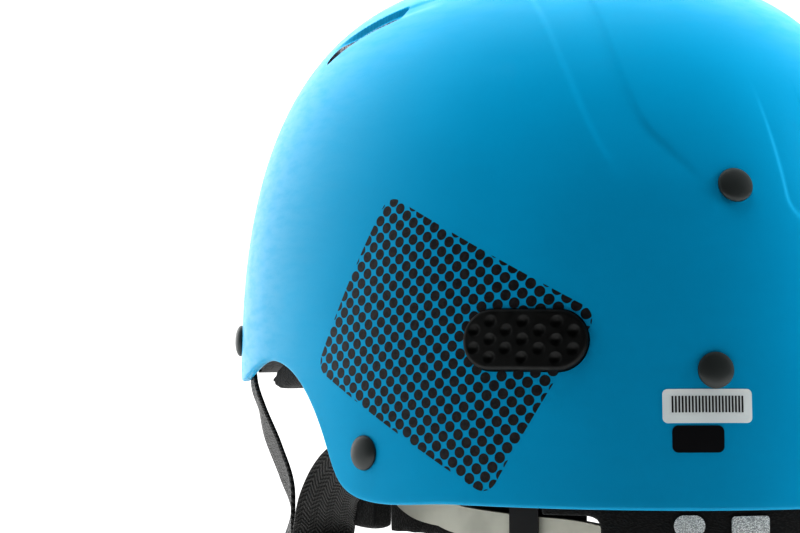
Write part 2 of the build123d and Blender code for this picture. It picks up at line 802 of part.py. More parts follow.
SLOT_LENGTH = WEB_WIDTH + 1.2
CORNER = 1.2
SLOT_DEPTH = 4.6
with BuildPart() as strap_divider:
    with BuildSketch(HARNESS):
        hull_points = []
        for middle, way in (front_bar, rear_bar, chin_bar):
            hull_points += window(middle, way, SLOT_LENGTH + 1.0, -2, BAR / 2 - CORNER)[2:]
        hull_points.sort(key=lambda p: atan2(p[1] - divider_h, p[0] - divider_s))
        with BuildLine():
            Polyline(*hull_points, close=True)
        make_face()
        offset(amount=CORNER, kind=Kind.ARC)
        for middle, way in (front_bar, rear_bar, chin_bar):
            with BuildLine():
                Polyline(
                    *window(middle, way, SLOT_LENGTH, -BAR / 2 - SLOT_DEPTH, -BAR / 2),
                    close=True,
                )
            make_face(mode=Mode.SUBTRACT)
    extrude(amount=PLATE / 2, both=True)
save(strap_divider.part, "strap_divider_left")
save(flipped(strap_divider.part), "strap_divider_right")


# ---------------------------------------------------------------- chin straps and buckle
CHIN_STRAP_LENGTH = 62.0
chin_top, chin_way = chin_bar
buckle_top = chin_top + chin_way * CHIN_STRAP_LENGTH
BUCKLE_WIDTH = 31.0
BASE_HEIGHT = 13.0
PRONG_LENGTH = 21.0
PRONG_GAP = 13.5
SOCKET_HEIGHT = 36.0
SOCKET_DEPTH = 12.0
CAVITY_DEPTH = 6.8

chin_strap = webbing(chin_top, True, buckle_top, True)
save(chin_strap, "chin_strap_left")
save(flipped(chin_strap), "chin_strap_right")

base_middle = (buckle_top.X, buckle_top.Y - BASE_HEIGHT / 2 + BAR / 2)
slot_middle = (buckle_top.X, buckle_top.Y - BAR / 2 - SLOT_DEPTH / 2)
base_low = base_middle[1] - BASE_HEIGHT / 2

with BuildPart() as buckle_plug:
    with BuildSketch(HARNESS):
        with Locations(base_middle):
            RectangleRounded(BUCKLE_WIDTH - 4, BASE_HEIGHT, 1.2)
        with Locations(slot_middle):
            Rectangle(SLOT_LENGTH, SLOT_DEPTH, mode=Mode.SUBTRACT)
    extrude(amount=PLATE / 2, both=True)
    with BuildSketch(HARNESS):
        for side in (-1, 0, 1):
            with Locations((buckle_top.X + side * PRONG_GAP * 0.74, base_low)):
                Rectangle(3.6, PRONG_LENGTH, align=(Align.CENTER, Align.MAX))
        for side in (-1, 1):
            with Locations((buckle_top.X + side * PRONG_GAP * 0.86, base_low - PRONG_LENGTH + 4)):
                RectangleRounded(5.4, 8.0, 1.6)
        with Locations((buckle_top.X, base_low - 1)):
            Rectangle(BUCKLE_WIDTH - 6, 2.4)
    extrude(amount=2.1, both=True)
save(buckle_plug.part, "buckle_plug")

with BuildPart() as buckle_socket:
    with BuildSketch(HARNESS):
        with Locations(base_middle):
            RectangleRounded(BUCKLE_WIDTH - 4, BASE_HEIGHT, 1.2)
        with Locations(slot_middle):
            Rectangle(SLOT_LENGTH, SLOT_DEPTH, mode=Mode.SUBTRACT)
    extrude(amount=PLATE / 2, both=True)
    with BuildSketch(HARNESS):
        with Locations((buckle_top.X, base_low + 2)):
            Rectangle(BUCKLE_WIDTH, SOCKET_HEIGHT - BASE_HEIGHT, align=(Align.CENTER, Align.MAX))
    extrude(amount=SOCKET_DEPTH / 2, both=True)
    outer_faces = buckle_socket.faces().filter_by(HARNESS).sort_by(Axis.X)
    fillet([*outer_faces[0].edges(), *outer_faces[-1].edges()], 1.8)
    with BuildSketch(HARNESS):
        with Locations((buckle_top.X, base_low)):
            Rectangle(BUCKLE_WIDTH - 4, 40, align=(Align.CENTER, Align.MAX))
    extrude(amount=CAVITY_DEPTH / 2, both=True, mode=Mode.SUBTRACT)
    with BuildSketch(HARNESS):
        for side in (-1, 1):
            with Locations((buckle_top.X + side * BUCKLE_WIDTH / 2, base_low - 11)):
                RectangleRounded(9.0, 10.0, 3.0)
    extrude(amount=CAVITY_DEPTH / 2, both=True, mode=Mode.SUBTRACT)
save(flipped(buckle_socket.part), "buckle_socket")

KEEPER_HEIGHT = 6.0
keeper_middle = (chin_top.X, chin_top.Y - CHIN_STRAP_LENGTH * 0.62)
with BuildPart() as strap_keeper:
    with BuildSketch(HARNESS):
        with Locations(keeper_middle):
            Rectangle(WEB_WIDTH + 3.6, KEEPER_HEIGHT)
    extrude(amount=2.2, both=True)
    fillet(strap_keeper.edges().filter_by(Axis.Z), 1.0)
    with BuildSketch(HARNESS):
        with Locations(keeper_middle):
            Rectangle(WEB_WIDTH + 0.5, KEEPER_HEIGHT + 2)
    extrude(amount=WEB_THICKNESS / 2 + 0.2, both=True, mode=Mode.SUBTRACT)
save(strap_keeper.part, "strap_keeper")
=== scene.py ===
"""The finished look of the white-water helmet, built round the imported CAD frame.

Metres throughout.  +Z is up, +Y is the nape, +X is the wearer's left, and z = 0 is the rim at
the nape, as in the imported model.
"""

import json
from math import cos, pi, radians, sin, sqrt

import bmesh
import bpy
import numpy as np
from mathutils import Matrix, Vector


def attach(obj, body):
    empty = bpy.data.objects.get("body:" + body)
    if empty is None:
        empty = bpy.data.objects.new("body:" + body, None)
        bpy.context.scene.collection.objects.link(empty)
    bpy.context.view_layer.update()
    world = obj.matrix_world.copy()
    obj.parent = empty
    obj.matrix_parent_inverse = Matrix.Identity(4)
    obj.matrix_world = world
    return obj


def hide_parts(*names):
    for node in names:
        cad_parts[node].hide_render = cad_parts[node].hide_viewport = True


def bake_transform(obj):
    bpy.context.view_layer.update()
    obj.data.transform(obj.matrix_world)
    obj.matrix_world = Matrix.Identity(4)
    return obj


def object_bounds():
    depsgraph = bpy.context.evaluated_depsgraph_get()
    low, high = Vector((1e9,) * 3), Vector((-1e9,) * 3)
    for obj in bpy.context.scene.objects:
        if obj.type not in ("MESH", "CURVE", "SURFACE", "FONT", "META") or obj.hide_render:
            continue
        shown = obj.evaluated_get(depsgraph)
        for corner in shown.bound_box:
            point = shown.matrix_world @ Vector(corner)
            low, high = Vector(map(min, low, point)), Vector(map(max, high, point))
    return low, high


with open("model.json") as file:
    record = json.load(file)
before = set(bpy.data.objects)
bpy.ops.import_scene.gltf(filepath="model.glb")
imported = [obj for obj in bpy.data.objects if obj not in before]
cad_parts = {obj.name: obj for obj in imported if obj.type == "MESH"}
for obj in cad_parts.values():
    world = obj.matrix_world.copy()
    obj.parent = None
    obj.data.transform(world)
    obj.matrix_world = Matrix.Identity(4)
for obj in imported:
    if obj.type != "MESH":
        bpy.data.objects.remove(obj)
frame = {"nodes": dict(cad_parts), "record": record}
NODES = frame["nodes"]
cad_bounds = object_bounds()
scene = bpy.context.scene
MM = 0.001

# ---------------------------------------------------------------- the dome, as the CAD has it
HALF_LENGTH = 140.0 * MM
HALF_WIDTH = 115.7 * MM
CROWN_HEIGHT = 177.1 * MM
ROUNDNESS = 2.85
CROWN_LEAN = -14.0 / 177.1
SHELL_THICKNESS = 3.0 * MM
RIM_LINE = [
    (-170, 41), (-110, 38.5), (-58, 34.4), (-40, 38.4), (-22, 42.1), (0, 37.6),
    (20, 16.5), (29, 3.4), (43, -1), (75, 0),
]
RIM_TANGENTS = ((1, -0.04), (1, 0))
PLUG_PLACE = (46.4, 50.4)              # bearing from the nape in degrees, height in mm
PLUG_SIZE = (40.0 * MM, 18.7 * MM)
VENT_MIDDLE = (77.5 * MM, -21.0 * MM)
VENT_SIZE = (34.0 * MM, 6.5 * MM)
VENT_TURN = radians(108.0)


# ---------------------------------------------------------------- camera
CAMERA_PLACE = Vector((0.4838, 0.7413, 0.0621))
CAMERA_BACK = Vector((0.4825, 0.8758, -0.0138)).normalized()
CAMERA_LENS = 113.5


def add_camera():
    data = bpy.data.cameras.new("camera")
    data.lens = CAMERA_LENS
    data.sensor_width = 36.0
    camera = bpy.data.objects.new("camera", data)
    right = Vector((0, 0, 1)).cross(CAMERA_BACK).normalized()
    up = CAMERA_BACK.cross(right)
    turn = Matrix((right, up, CAMERA_BACK)).transposed().to_4x4()
    camera.matrix_world = Matrix.Translation(CAMERA_PLACE) @ turn
    scene.collection.objects.link(camera)
    scene.camera = camera


# ---------------------------------------------------------------- light, backdrop and floor
LAMP_SIZE = 0.9
LAMP_TARGET = Vector((0.0, 0.0, 0.06))
LAMPS = {                              # place and watts
    "overhead": ((0.08, -0.21, 1.35), 20.5),
    "right": ((-0.97, 0.55, 0.44), 13.4),
    "left": ((1.06, -0.38, 0.37), 3.2),
}
ROOM_BASE = 0.02
# direction, cosine where the lobe starts, cosine where it is full, strength
ROOM_LOBES = (
    ((-0.32, -0.93, 0.18), 0.20, 0.90, 1.23),
    ((0.23, -0.97, -0.08), 0.20, 0.90, 0.51),
    ((-0.76, -0.08, 0.64), 0.50, 0.95, 0.25),
    ((0.02, -0.85, 0.53), 0.50, 0.95, 0.20),
)
BACKDROP = (0.985, 0.985, 0.985, 1)
FLOOR_RADIUS = 1.05
FLOOR_GAP = 0.004                      # the disc lies this far under the lowest point


def add_area_light(name, place, power):
    """A soft disc of light on the helmet, left out of its reflections."""
    data = bpy.data.lights.new(name, "AREA")
    data.shape = "DISK"
    data.size = LAMP_SIZE
    data.energy = power
    lamp = bpy.data.objects.new(name, data)
    way = LAMP_TARGET - Vector(place)
    lamp.rotation_euler = way.to_track_quat("-Z", "Y").to_euler()
    lamp.location = place
    lamp.visible_glossy = False
    lamp.visible_camera = False
    scene.collection.objects.link(lamp)


def feed(tree, socket, value):
    """Links another node's output to an input, or sets its value."""
    if isinstance(value, bpy.types.NodeSocket):
        tree.links.new(value, socket)
    else:
        socket.default_value = value


def add_node(tree, kind, **inputs):
    node = tree.nodes.new("ShaderNode" + kind)
    for name, value in inputs.items():
        feed(tree, node.inputs[name.replace("_", " ")], value)
    return node


def add_world():
    """White to the camera; to the object a dim room, bright behind it and above."""
    world = bpy.data.worlds.new("studio")
    world.use_nodes = True
    scene.world = world
    tree = world.node_tree
    tree.nodes.clear()
    place = add_node(tree, "TexCoord").outputs["Generated"]
    total = ROOM_BASE
    for direction, start, stop, strength in ROOM_LOBES:
        dot = add_node(tree, "VectorMath")
        dot.operation = "DOT_PRODUCT"
        feed(tree, dot.inputs[0], place)
        feed(tree, dot.inputs[1], Vector(direction).normalized())
        lobe = add_node(tree, "MapRange", Value=dot.outputs["Value"], From_Min=start,
                        From_Max=stop, To_Max=strength)
        lobe.interpolation_type = "SMOOTHSTEP"
        add = add_node(tree, "Math")
        feed(tree, add.inputs[0], lobe.outputs[0])
        feed(tree, add.inputs[1], total)
        total = add.outputs[0]
    seen_by_camera = add_node(tree, "LightPath").outputs["Is Camera Ray"]
    room = add_node(tree, "Background", Color=(1, 1, 1, 1), Strength=total)
    seen = add_node(tree, "Background", Color=BACKDROP)
    mix = add_node(tree, "MixShader")
    for socket, value in zip(mix.inputs, (seen_by_camera, room.outputs[0], seen.outputs[0])):
        feed(tree, socket, value)
    add_node(tree, "OutputWorld", Surface=mix.outputs[0])


def add_floor():
    """A pale disc under the lowest point."""
    lowest = cad_bounds[0][2] - FLOOR_GAP
    rings, spokes = 6, 96
    points, faces = [(0, 0, lowest)], []
    for ring in range(1, rings + 1):
        for spoke in range(spokes):
            turn = 2 * pi * spoke / spokes
            reach = FLOOR_RADIUS * ring / rings
            points.append((reach * cos(turn), reach * sin(turn), lowest))
    for spoke in range(spokes):
        after = (spoke + 1) % spokes
        faces.append((0, 1 + spoke, 1 + after))
        for ring in range(rings - 1):
            low, high = 1 + ring * spokes, 1 + (ring + 1) * spokes
            faces.append((low + spoke, high + spoke, high + after, low + after))
    mesh = bpy.data.meshes.new("floor")
    mesh.from_pydata(points, [], faces)
    floor = bpy.data.objects.new("floor", mesh)
    scene.collection.objects.link(floor)
    paint = Paint("pale_floor", (0.82, 0.82, 0.81), 0.7)
    paint.speckle(scale=30, low=(0.80, 0.80, 0.79), high=(0.84, 0.84, 0.83))
    floor.data.materials.append(paint.material)


# ---------------------------------------------------------------- materials
class Paint:
    """A material with a Principled shader and the nodes that feed it."""

    def __init__(self, name, colour, roughness, **sockets):
        self.material = bpy.data.materials.new(name)
        self.material.use_nodes = True
        self.tree = self.material.node_tree
        self.shader = self.tree.nodes["Principled BSDF"]
        self.shader.inputs["Base Color"].default_value = (*colour, 1)
        self.shader.inputs["Roughness"].default_value = roughness
        for socket, value in sockets.items():
            self.shader.inputs[socket.replace("_", " ")].default_value = value
        self.material.diffuse_color = (*colour, 1)
        self.coordinates = None

    def node(self, kind, **inputs):
        return add_node(self.tree, kind, **inputs)

    def feed(self, socket, value):
        feed(self.tree, socket, value)

    def place(self, stretch=(1, 1, 1)):
        """Coordinates in metres in the object's own frame, stretched."""
        if self.coordinates is None:
            self.coordinates = self.node("TexCoord")
        where = self.coordinates.outputs["Object"]
        return self.node("Mapping", Vector=where, Scale=stretch).outputs[0]

    def uv(self):
        """The strip's own coordinates in metres: across, along."""
        if self.coordinates is None:
            self.coordinates = self.node("TexCoord")
        split = self.node("SeparateXYZ", Vector=self.coordinates.outputs["UV"])
        return split.outputs[0], split.outputs[1]

    def noise(self, scale, detail=2.0, roughness=0.5, vector=None):
        made = self.node("TexNoise", Scale=scale, Detail=detail, Roughness=roughness)
        self.feed(made.inputs["Vector"], vector or self.place())
        return made.outputs["Fac"]

    def cells(self, scale, feature="F1", vector=None):
        made = self.node("TexVoronoi", Scale=scale)
        made.feature = feature
        self.feed(made.inputs["Vector"], vector or self.place())
        return made

    def math(self, operation, first, second=0.0):
        made = self.node("Math")
        made.operation = operation
        self.feed(made.inputs[0], first)
        self.feed(made.inputs[1], second)
        return made.outputs[0]

    def spread(self, value, low, high, to_low=0.0, to_high=1.0):
        made = self.node("MapRange", Value=value, From_Min=low, From_Max=high, To_Min=to_low,
                         To_Max=to_high)
        made.interpolation_type = "SMOOTHSTEP"
        return made.outputs[0]

    def mix(self, factor, low, high):
        made = self.node("Mix")
        made.data_type = "RGBA"
        self.feed(made.inputs[0], factor)
        for index, colour in ((6, low), (7, high)):
            if isinstance(colour, tuple):
                colour = (*colour, 1)
            self.feed(made.inputs[index], colour)
        return made.outputs[2]

    def colour(self, socket):
        self.feed(self.shader.inputs["Base Color"], socket)

    def roughness(self, socket):
        self.feed(self.shader.inputs["Roughness"], socket)

    def bump(self, height, distance, strength):
        """Adds relief of this many metres over the relief already there."""
        made = self.node("Bump", Height=height, Strength=strength, Distance=distance)
        normal = self.shader.inputs["Normal"]
        if normal.is_linked:
            self.feed(made.inputs["Normal"], normal.links[0].from_socket)
        self.feed(normal, made.outputs[0])

    def speckle(self, scale, low, high):
        self.colour(self.mix(self.spread(self.noise(scale, 3.0), 0.35, 0.65), low, high))


def scaled(colour, factor):
    return tuple(min(1, c * factor) for c in colour)


def shell_paint():
    """Moulded blue plastic: satin, with a faint orange peel and fine handling marks."""
    paint = Paint("shell_blue", SHELL_BLUE, 0.42, IOR=1.46, Specular_IOR_Level=0.25)
    drift = paint.spread(paint.noise(14, 2), 0.3, 0.7)
    paint.colour(paint.mix(drift, scaled(SHELL_BLUE, 0.95), scaled(SHELL_BLUE, 1.04)))
    scuffs = paint.noise(90, 6, 0.6, paint.place((1, 1, 4)))
    paint.roughness(paint.spread(scuffs, 0.35, 0.75, 0.38, 0.47))
    paint.bump(paint.noise(950, 2), 0.00003, 0.5)
    return paint.material


def cut_edge_highlight_paint():
    """The shell's cut edge round the vents: painted pale and speckled, a painted highlight of the
    lit vent lip.
    """
    paint = Paint("cut_edge", (0.55, 0.53, 0.56), 0.6)
    grain = paint.spread(paint.noise(1100, 3), 0.42, 0.6)
    # the pale colour is a painted highlight standing for light on the vent's cut edge
    paint.colour(paint.mix(grain, (0.22, 0.24, 0.28), (0.74, 0.70, 0.74)))
    paint.bump(paint.noise(900, 3), 0.0001, 0.6)
    return paint.material


def ink_paint():
    paint = Paint("dot_ink", (0.016, 0.016, 0.018), 0.5)
    paint.speckle(700, (0.010, 0.010, 0.012), (0.024, 0.022, 0.024))
    paint.bump(paint.noise(900, 2), 0.00003, 0.5)
    return paint.material


def rubber_paint(name, colour, roughness):
    paint = Paint(name, colour, roughness, IOR=1.45)
    paint.speckle(260, colour, scaled(colour, 1.7))
    paint.roughness(paint.spread(paint.noise(320, 4), 0.3, 0.7, roughness - 0.06, roughness + 0.08))
    paint.bump(paint.noise(1600, 3), 0.00005, 0.5)
    return paint.material


def plastic_paint(name, colour, roughness, grain=1400, relief=0.00004):
    paint = Paint(name, colour, roughness)
    paint.speckle(60, scaled(colour, 0.9), scaled(colour, 1.12))
    paint.roughness(paint.spread(paint.noise(150, 5), 0.3, 0.7, roughness - 0.05, roughness + 0.07))
    paint.bump(paint.noise(grain, 3, 0.6), relief, 0.6)
    return paint.material


def foam_paint():
    """Expanded bead foam: rounded cells pressed together, a little colour from bead to bead, and
    painted shade in the grooves between the beads.
    """
    paint = Paint("liner_foam", FOAM_GREY, 0.72)
    beads = paint.cells(300)
    edges = paint.cells(300, "DISTANCE_TO_EDGE")
    tint = paint.mix(beads.outputs["Color"], scaled(FOAM_GREY, 0.75), scaled(FOAM_GREY, 1.35))
    groove = paint.spread(edges.outputs["Distance"], 0.0, 0.12)
    # painted shade: the colour is darker in the grooves between the beads
    paint.colour(paint.mix(groove, scaled(FOAM_GREY, 0.45), tint))
    paint.bump(groove, 0.00018, 0.7)
    paint.bump(paint.noise(1500, 2), 0.00004, 0.4)
    return paint.material


def fabric_paint(name, colour, thread=0.0009):
    """A brushed knit: rows of small loops under a soft nap; the colour is painted shade between the
    loops and a painted highlight on their tops.
    """
    paint = Paint(name, colour, 0.9, Sheen_Weight=0.12, Sheen_Roughness=0.45)
    loops = paint.cells(1 / thread, vector=paint.place((1, 1, 1.6)))
    nap = paint.noise(2600, 3)
    height = paint.spread(loops.outputs["Distance"], 0.1, 0.75, 1.0, 0.0)
    # painted shade and highlight: darker in the hollows between loops, lighter on the loop tops
    shade = paint.mix(height, scaled(colour, 0.55), scaled(colour, 1.9))
    paint.colour(paint.mix(paint.spread(paint.noise(35, 3), 0.3, 0.7, 0.0, 0.35), shade, colour))
    paint.bump(height, 0.00016, 0.8)
    paint.bump(nap, 0.00008, 0.5)
    return paint.material


ZIG_WIDTH = 2.5 * MM
RIB_PITCH = 1.6 * MM
WARP_PITCH = 0.83 * MM


def webbing_paint():
    """Herringbone webbing: ribs that slant one way, then the other, across the strap; their colour
    is painted shade in the grooves and a painted highlight on the crests.
    """
    paint = Paint("webbing", WEB_BLACK, 0.62, Sheen_Weight=0.15, Sheen_Roughness=0.4)
    across, along = paint.uv()
    zig = paint.math("PINGPONG", across, ZIG_WIDTH)
    slant = paint.math("ADD", along, paint.math("MULTIPLY", zig, 1.1))
    rib = paint.math("SINE", paint.math("MULTIPLY", slant, 2 * pi / RIB_PITCH))
    warp = paint.math("SINE", paint.math("MULTIPLY", across, 2 * pi / WARP_PITCH))
    height = paint.math("ADD", rib, paint.math("MULTIPLY", warp, 0.45))
    shade = paint.spread(height, -1.2, 1.3)
    # painted shade in the rib grooves and painted highlight on the rib crests, from the bump's
    # relief
    paint.colour(paint.mix(shade, scaled(WEB_BLACK, 0.15), scaled(WEB_BLACK, 3.2)))
    paint.bump(shade, 0.00045, 0.9)
    paint.bump(paint.noise(2400, 2), 0.00005, 0.4)
    return paint.material


def steel_paint():
    paint = Paint("steel", (0.55, 0.55, 0.54), 0.35, Metallic=1.0)
    brushed = paint.noise(500, 4, 0.6, paint.place((1, 6, 1)))
    paint.roughness(paint.spread(brushed, 0.3, 0.7, 0.26, 0.45))
    drift = paint.spread(paint.noise(120, 3), 0.3, 0.7)
    paint.colour(paint.mix(drift, (0.46, 0.46, 0.45), (0.62, 0.62, 0.61)))
    return paint.material


def film_paint(name, colour):
    """Printed film with a slight sheen and tiny creases."""
    paint = Paint(name, colour, 0.32)
    paint.speckle(40, scaled(colour, 0.95), scaled(colour, 1.03))
    paint.bump(paint.noise(260, 3), 0.00004, 0.5)
    return paint.material


SHELL_BLUE = (0.0, 0.31, 0.53)
FOAM_GREY = (0.045, 0.045, 0.047)
WEB_BLACK = (0.015, 0.015, 0.0145)
FABRIC_BLACK = (0.010, 0.010, 0.010)

PAINTS = {
    "shell_blue": shell_paint(),
    "rivet_dark": plastic_paint("rivet_dark", (0.040, 0.046, 0.046), 0.40, 900, 0.00002),
    "plug_rubber": rubber_paint("plug_rubber", (0.0045, 0.0050, 0.0050), 0.50),
    "label_pale": film_paint("label_pale", (0.72, 0.77, 0.78)),
    "label_dark": film_paint("label_dark", (0.010, 0.010, 0.012)),
    "liner_foam": foam_paint(),
    "pad_fabric": fabric_paint("pad_fabric", FABRIC_BLACK),
    "tag_fabric": fabric_paint("tag_fabric", (0.52, 0.55, 0.55), 0.0005),
    "webbing": webbing_paint(),
    "cradle_grey": plastic_paint("cradle_grey", (0.50, 0.50, 0.44), 0.45),
    "black_plastic": plastic_paint("black_plastic", (0.014, 0.014, 0.015), 0.42),
    "keeper_rubber": rubber_paint("keeper_rubber", (0.012, 0.012, 0.012), 0.6),
    "steel": steel_paint(),
}
INK = ink_paint()
CUT_EDGE_HIGHLIGHT = cut_edge_highlight_paint()


# ---------------------------------------------------------------- geometry of the dome
def cubic(t, gap, start, stop, start_slope, stop_slope):
    """Points of a cubic over a gap between two points with their slopes."""
    return (
        (2 * t**3 - 3 * t**2 + 1) * start + (t**3 - 2 * t**2 + t) * gap * start_slope
        + (3 * t**2 - 2 * t**3) * stop + (t**3 - t**2) * gap * stop_slope
    )


def rim_heights():
    """The rim line as heights over y: a cubic through its points with the CAD's end tangents."""
    points = np.array(RIM_LINE, float)
    gaps = np.linalg.norm(np.diff(points, axis=0), axis=1)
    knots = np.concatenate([[0], np.cumsum(gaps)])
    count = len(points)
    system, wanted = np.zeros((count, count)), np.zeros((count, 2))
    for end, tangent in ((0, RIM_TANGENTS[0]), (count - 1, RIM_TANGENTS[1])):
        system[end, end] = 1
        wanted[end] = np.array(tangent) / np.linalg.norm(tangent)
    for i in range(1, count - 1):
        before, after = gaps[i - 1], gaps[i]
        system[i, i - 1 : i + 2] = after, 2 * (before + after), before
        wanted[i] = 3 * (
            after * (points[i] - points[i - 1]) / before
            + before * (points[i + 1] - points[i]) / after
        )
    slopes = np.linalg.solve(system, wanted)
    at = np.linspace(0, knots[-1], 900)
    span = np.clip(np.searchsorted(knots, at, "right") - 1, 0, count - 2)
    gap = gaps[span][:, None]
    t = (at - knots[span])[:, None] / gap
    curve = cubic(t, gap, points[span], points[span + 1], slopes[span], slopes[span + 1])
    return curve[:, 0] * MM, curve[:, 1] * MM


RIM_Y, RIM_Z = rim_heights()


def rim_height(y):
    return np.interp(y, RIM_Y, RIM_Z)


def skin(bearing, height):
    """Points of the dome at bearings in radians and heights."""
    share = (1 - np.clip(height / CROWN_HEIGHT, 0, 1) ** ROUNDNESS) ** (1 / ROUNDNESS)
    x = HALF_WIDTH * share * np.sin(bearing)
    y = HALF_LENGTH * share * np.cos(bearing) + CROWN_LEAN * height
    return np.stack([x, y, height + 0 * x], -1)


def skin_normal(points):
    """Outward unit normals at points on or near the dome."""
    x, z = points[..., 0], points[..., 2]
    y = points[..., 1] - CROWN_LEAN * z
    reach = np.sqrt((x / HALF_WIDTH) ** 2 + (y / HALF_LENGTH) ** 2)
    rise = np.clip(z / CROWN_HEIGHT, 0, 1)
    scale = np.maximum(reach, 1e-6) ** (ROUNDNESS - 2)
    slope = scale[..., None] * np.stack([x / HALF_WIDTH**2, y / HALF_LENGTH**2], -1)
    upward = rise ** (ROUNDNESS - 1) / CROWN_HEIGHT - CROWN_LEAN * slope[..., 1]
    normal = np.concatenate([slope, upward[..., None]], -1)
    return normal / np.linalg.norm(normal, axis=-1, keepdims=True)


def outside(points):
    """Above zero outside the dome, below zero inside."""
    x, z = points[..., 0], points[..., 2]
    y = points[..., 1] - CROWN_LEAN * z
    reach = (x / HALF_WIDTH) ** 2 + (y / HALF_LENGTH) ** 2
    rise = np.clip(z / CROWN_HEIGHT, 0, None)
    return reach ** (ROUNDNESS / 2) + rise**ROUNDNESS - 1


def onto_skin(points, direction, reach=0.03):
    """Slides points along a direction until they lie on the dome."""
    direction = np.array(direction, float)
    low, high = np.full(points.shape[:-1], -reach), np.full(points.shape[:-1], reach)
    for _ in range(36):
        middle = (low + high) / 2
        out = outside(points + middle[..., None] * direction) > 0
        high, low = np.where(out, middle, high), np.where(out, low, middle)
    return points + ((low + high) / 2)[..., None] * direction


class Seat:
    """A tangent plane of the dome: its point, level axis, upward axis and outward normal."""

    def __init__(self, bearing, height, side=1):
        self.origin = skin(np.array(radians(bearing)), np.array(height * MM))
        self.normal = skin_normal(self.origin)
        level = np.array([self.normal[1], -self.normal[0], 0.0])
        self.level = level / np.linalg.norm(level)
        self.up = np.cross(self.normal, self.level)
        if self.up[2] < 0:
            self.up = -self.up
        self.side = side

    def at(self, flat, lift=0.0):
        """Points of the skin under flat points (level, up), lifted off along the normal."""
        flat = np.asarray(flat, float)
        spots = self.origin + flat[..., :1] * self.level + flat[..., 1:2] * self.up
        spots = onto_skin(spots, self.normal)
        lift = np.asarray(lift, float)
        if lift.ndim:
            lift = lift[..., None]
        spots = spots + skin_normal(spots) * lift
        spots[..., 0] *= self.side
        return spots

    def flat(self, points):
        """Where points of the left side fall on the plane."""
        offset = np.asarray(points, float) - self.origin
        return np.stack([offset @ self.level, offset @ self.up], -1)


# ---------------------------------------------------------------- mesh helpers
def make_object(name, points, faces, slot, body=None, smooth=True, material=None, flip=False):
    """A mesh piece with its material; with a body it rides on it."""
    mesh = bpy.data.meshes.new(name)
    faces = [tuple(int(i) for i in (face[::-1] if flip else face)) for face in faces]
    mesh.from_pydata([tuple(map(float, p)) for p in points], [], faces)
    mesh.update()
    piece = bpy.data.objects.new(name, mesh)
    scene.collection.objects.link(piece)
    mesh.materials.append(material or PAINTS[slot])
    if smooth:
        mesh.shade_smooth()
    if body:
        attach(piece, body)
    return piece


def clean_up(piece, merge=0.0):
    """Joins points closer than the merge distance and turns the faces outwards."""
    work = bmesh.new()
    work.from_mesh(piece.data)
    if merge:
        bmesh.ops.remove_doubles(work, verts=work.verts, dist=merge)
        bmesh.ops.dissolve_degenerate(work, edges=work.edges, dist=merge)
    bmesh.ops.recalc_face_normals(work, faces=work.faces)
    work.to_mesh(piece.data)
    work.free()


def grid_faces(rows, columns, closed=False, first=0):
    """Quads of a grid whose points are numbered row by row."""
    across = columns if closed else columns - 1
    row, column = np.meshgrid(np.arange(rows - 1), np.arange(across), indexing="ij")
    after = (column + 1) % columns
    quads = np.stack(
        [row * columns + column, row * columns + after,
         (row + 1) * columns + after, (row + 1) * columns + column], -1,
    )
    return [tuple(q) for q in (quads.reshape(-1, 4) + first).tolist()]


def stadium(length, width, count):
    """Points round a slot outline, evenly spaced, from its right-hand end."""
    radius, half = width / 2, (length - width) / 2
    cap, side = pi * radius, 2 * half
    points = []
    for i in range(count):
        run, sign = 2 * (cap + side) * i / count, 1
        if run >= cap + side:
            run, sign = run - cap - side, -1
        if run < cap:
            turn = run / radius - pi / 2
            spot = (half + radius * cos(turn), radius * sin(turn))
        else:
            spot = (half - (run - cap), radius)
        points.append((sign * spot[0], sign * spot[1]))
    return np.array(points)


def smoothstep(value, start, stop):
    t = np.clip((value - start) / (stop - start), 0, 1)
    return t * t * (3 - 2 * t)


# ---------------------------------------------------------------- relief of the shell
# The sunk bands run from the crown down to the rear; each is bounded by two lines, given as
# points (x, y, z) in millimetres on the wearer's left.
BAND_OUTER = [
    (34.0, -40, 172), (38.0, -10, 172.5), (44.5, 20, 168), (51.6, 47.4, 159.8), (56.4, 64.1, 147.6),
    (58.4, 74.3, 137.7), (59.3, 83.1, 127.6), (59.4, 90.1, 117.9), (58.4, 95.8, 109.9),
    (56.2, 101.9, 101.4), (53.2, 107.1, 94.3), (46.3, 113.1, 89.7),
]
BAND_INNER = [
    (20.0, -40, 175), (23.5, 0, 175), (31.0, 35, 168), (38.8, 61.6, 159.0), (42.2, 71.4, 151.4),
    (45.0, 82.4, 140.8), (46.5, 91.9, 129.0), (46.4, 99.9, 117.7), (43.8, 104.2, 112.9),
    (40.5, 108.4, 108.2),
]
BAND_RISE = -0.6 * MM
BAND_EDGE = 2.6 * MM
TAB_HALF_WIDTH = 8.2 * MM              # the sunk tab on the centre line at the rear
TAB_LOW = 86.5 * MM
TAB_RISE = -0.5 * MM
TAB_EDGE = 1.3 * MM
SCOOP_DEPTH = 1.8 * MM                 # recess beside each crown vent


def side_of(points, normals, line):
    """Signed distance from a line on the skin: above zero on the centre line's side."""
    line = np.array(line) * MM
    dense = []
    for a, b in zip(line[:-1], line[1:]):
        dense += [a + (b - a) * t for t in np.linspace(0, 1, 8, endpoint=False)]
    dense = np.array(dense + [line[-1]])
    for _ in range(30):
        dense[1:-1] = (dense[:-2] + 2 * dense[1:-1] + dense[2:]) / 4
    ways = np.gradient(dense, axis=0)
    ways /= np.linalg.norm(ways, axis=1, keepdims=True)
    nearest = np.zeros(len(points), int)
    best = np.full(len(points), np.inf)
    for i, spot in enumerate(dense):
        gap = ((points - spot) ** 2).sum(1)
        closer = gap < best
        best[closer], nearest[closer] = gap[closer], i
    offset = points - dense[nearest]
    side = np.cross(normals, ways[nearest])
    return (offset * side).sum(1)


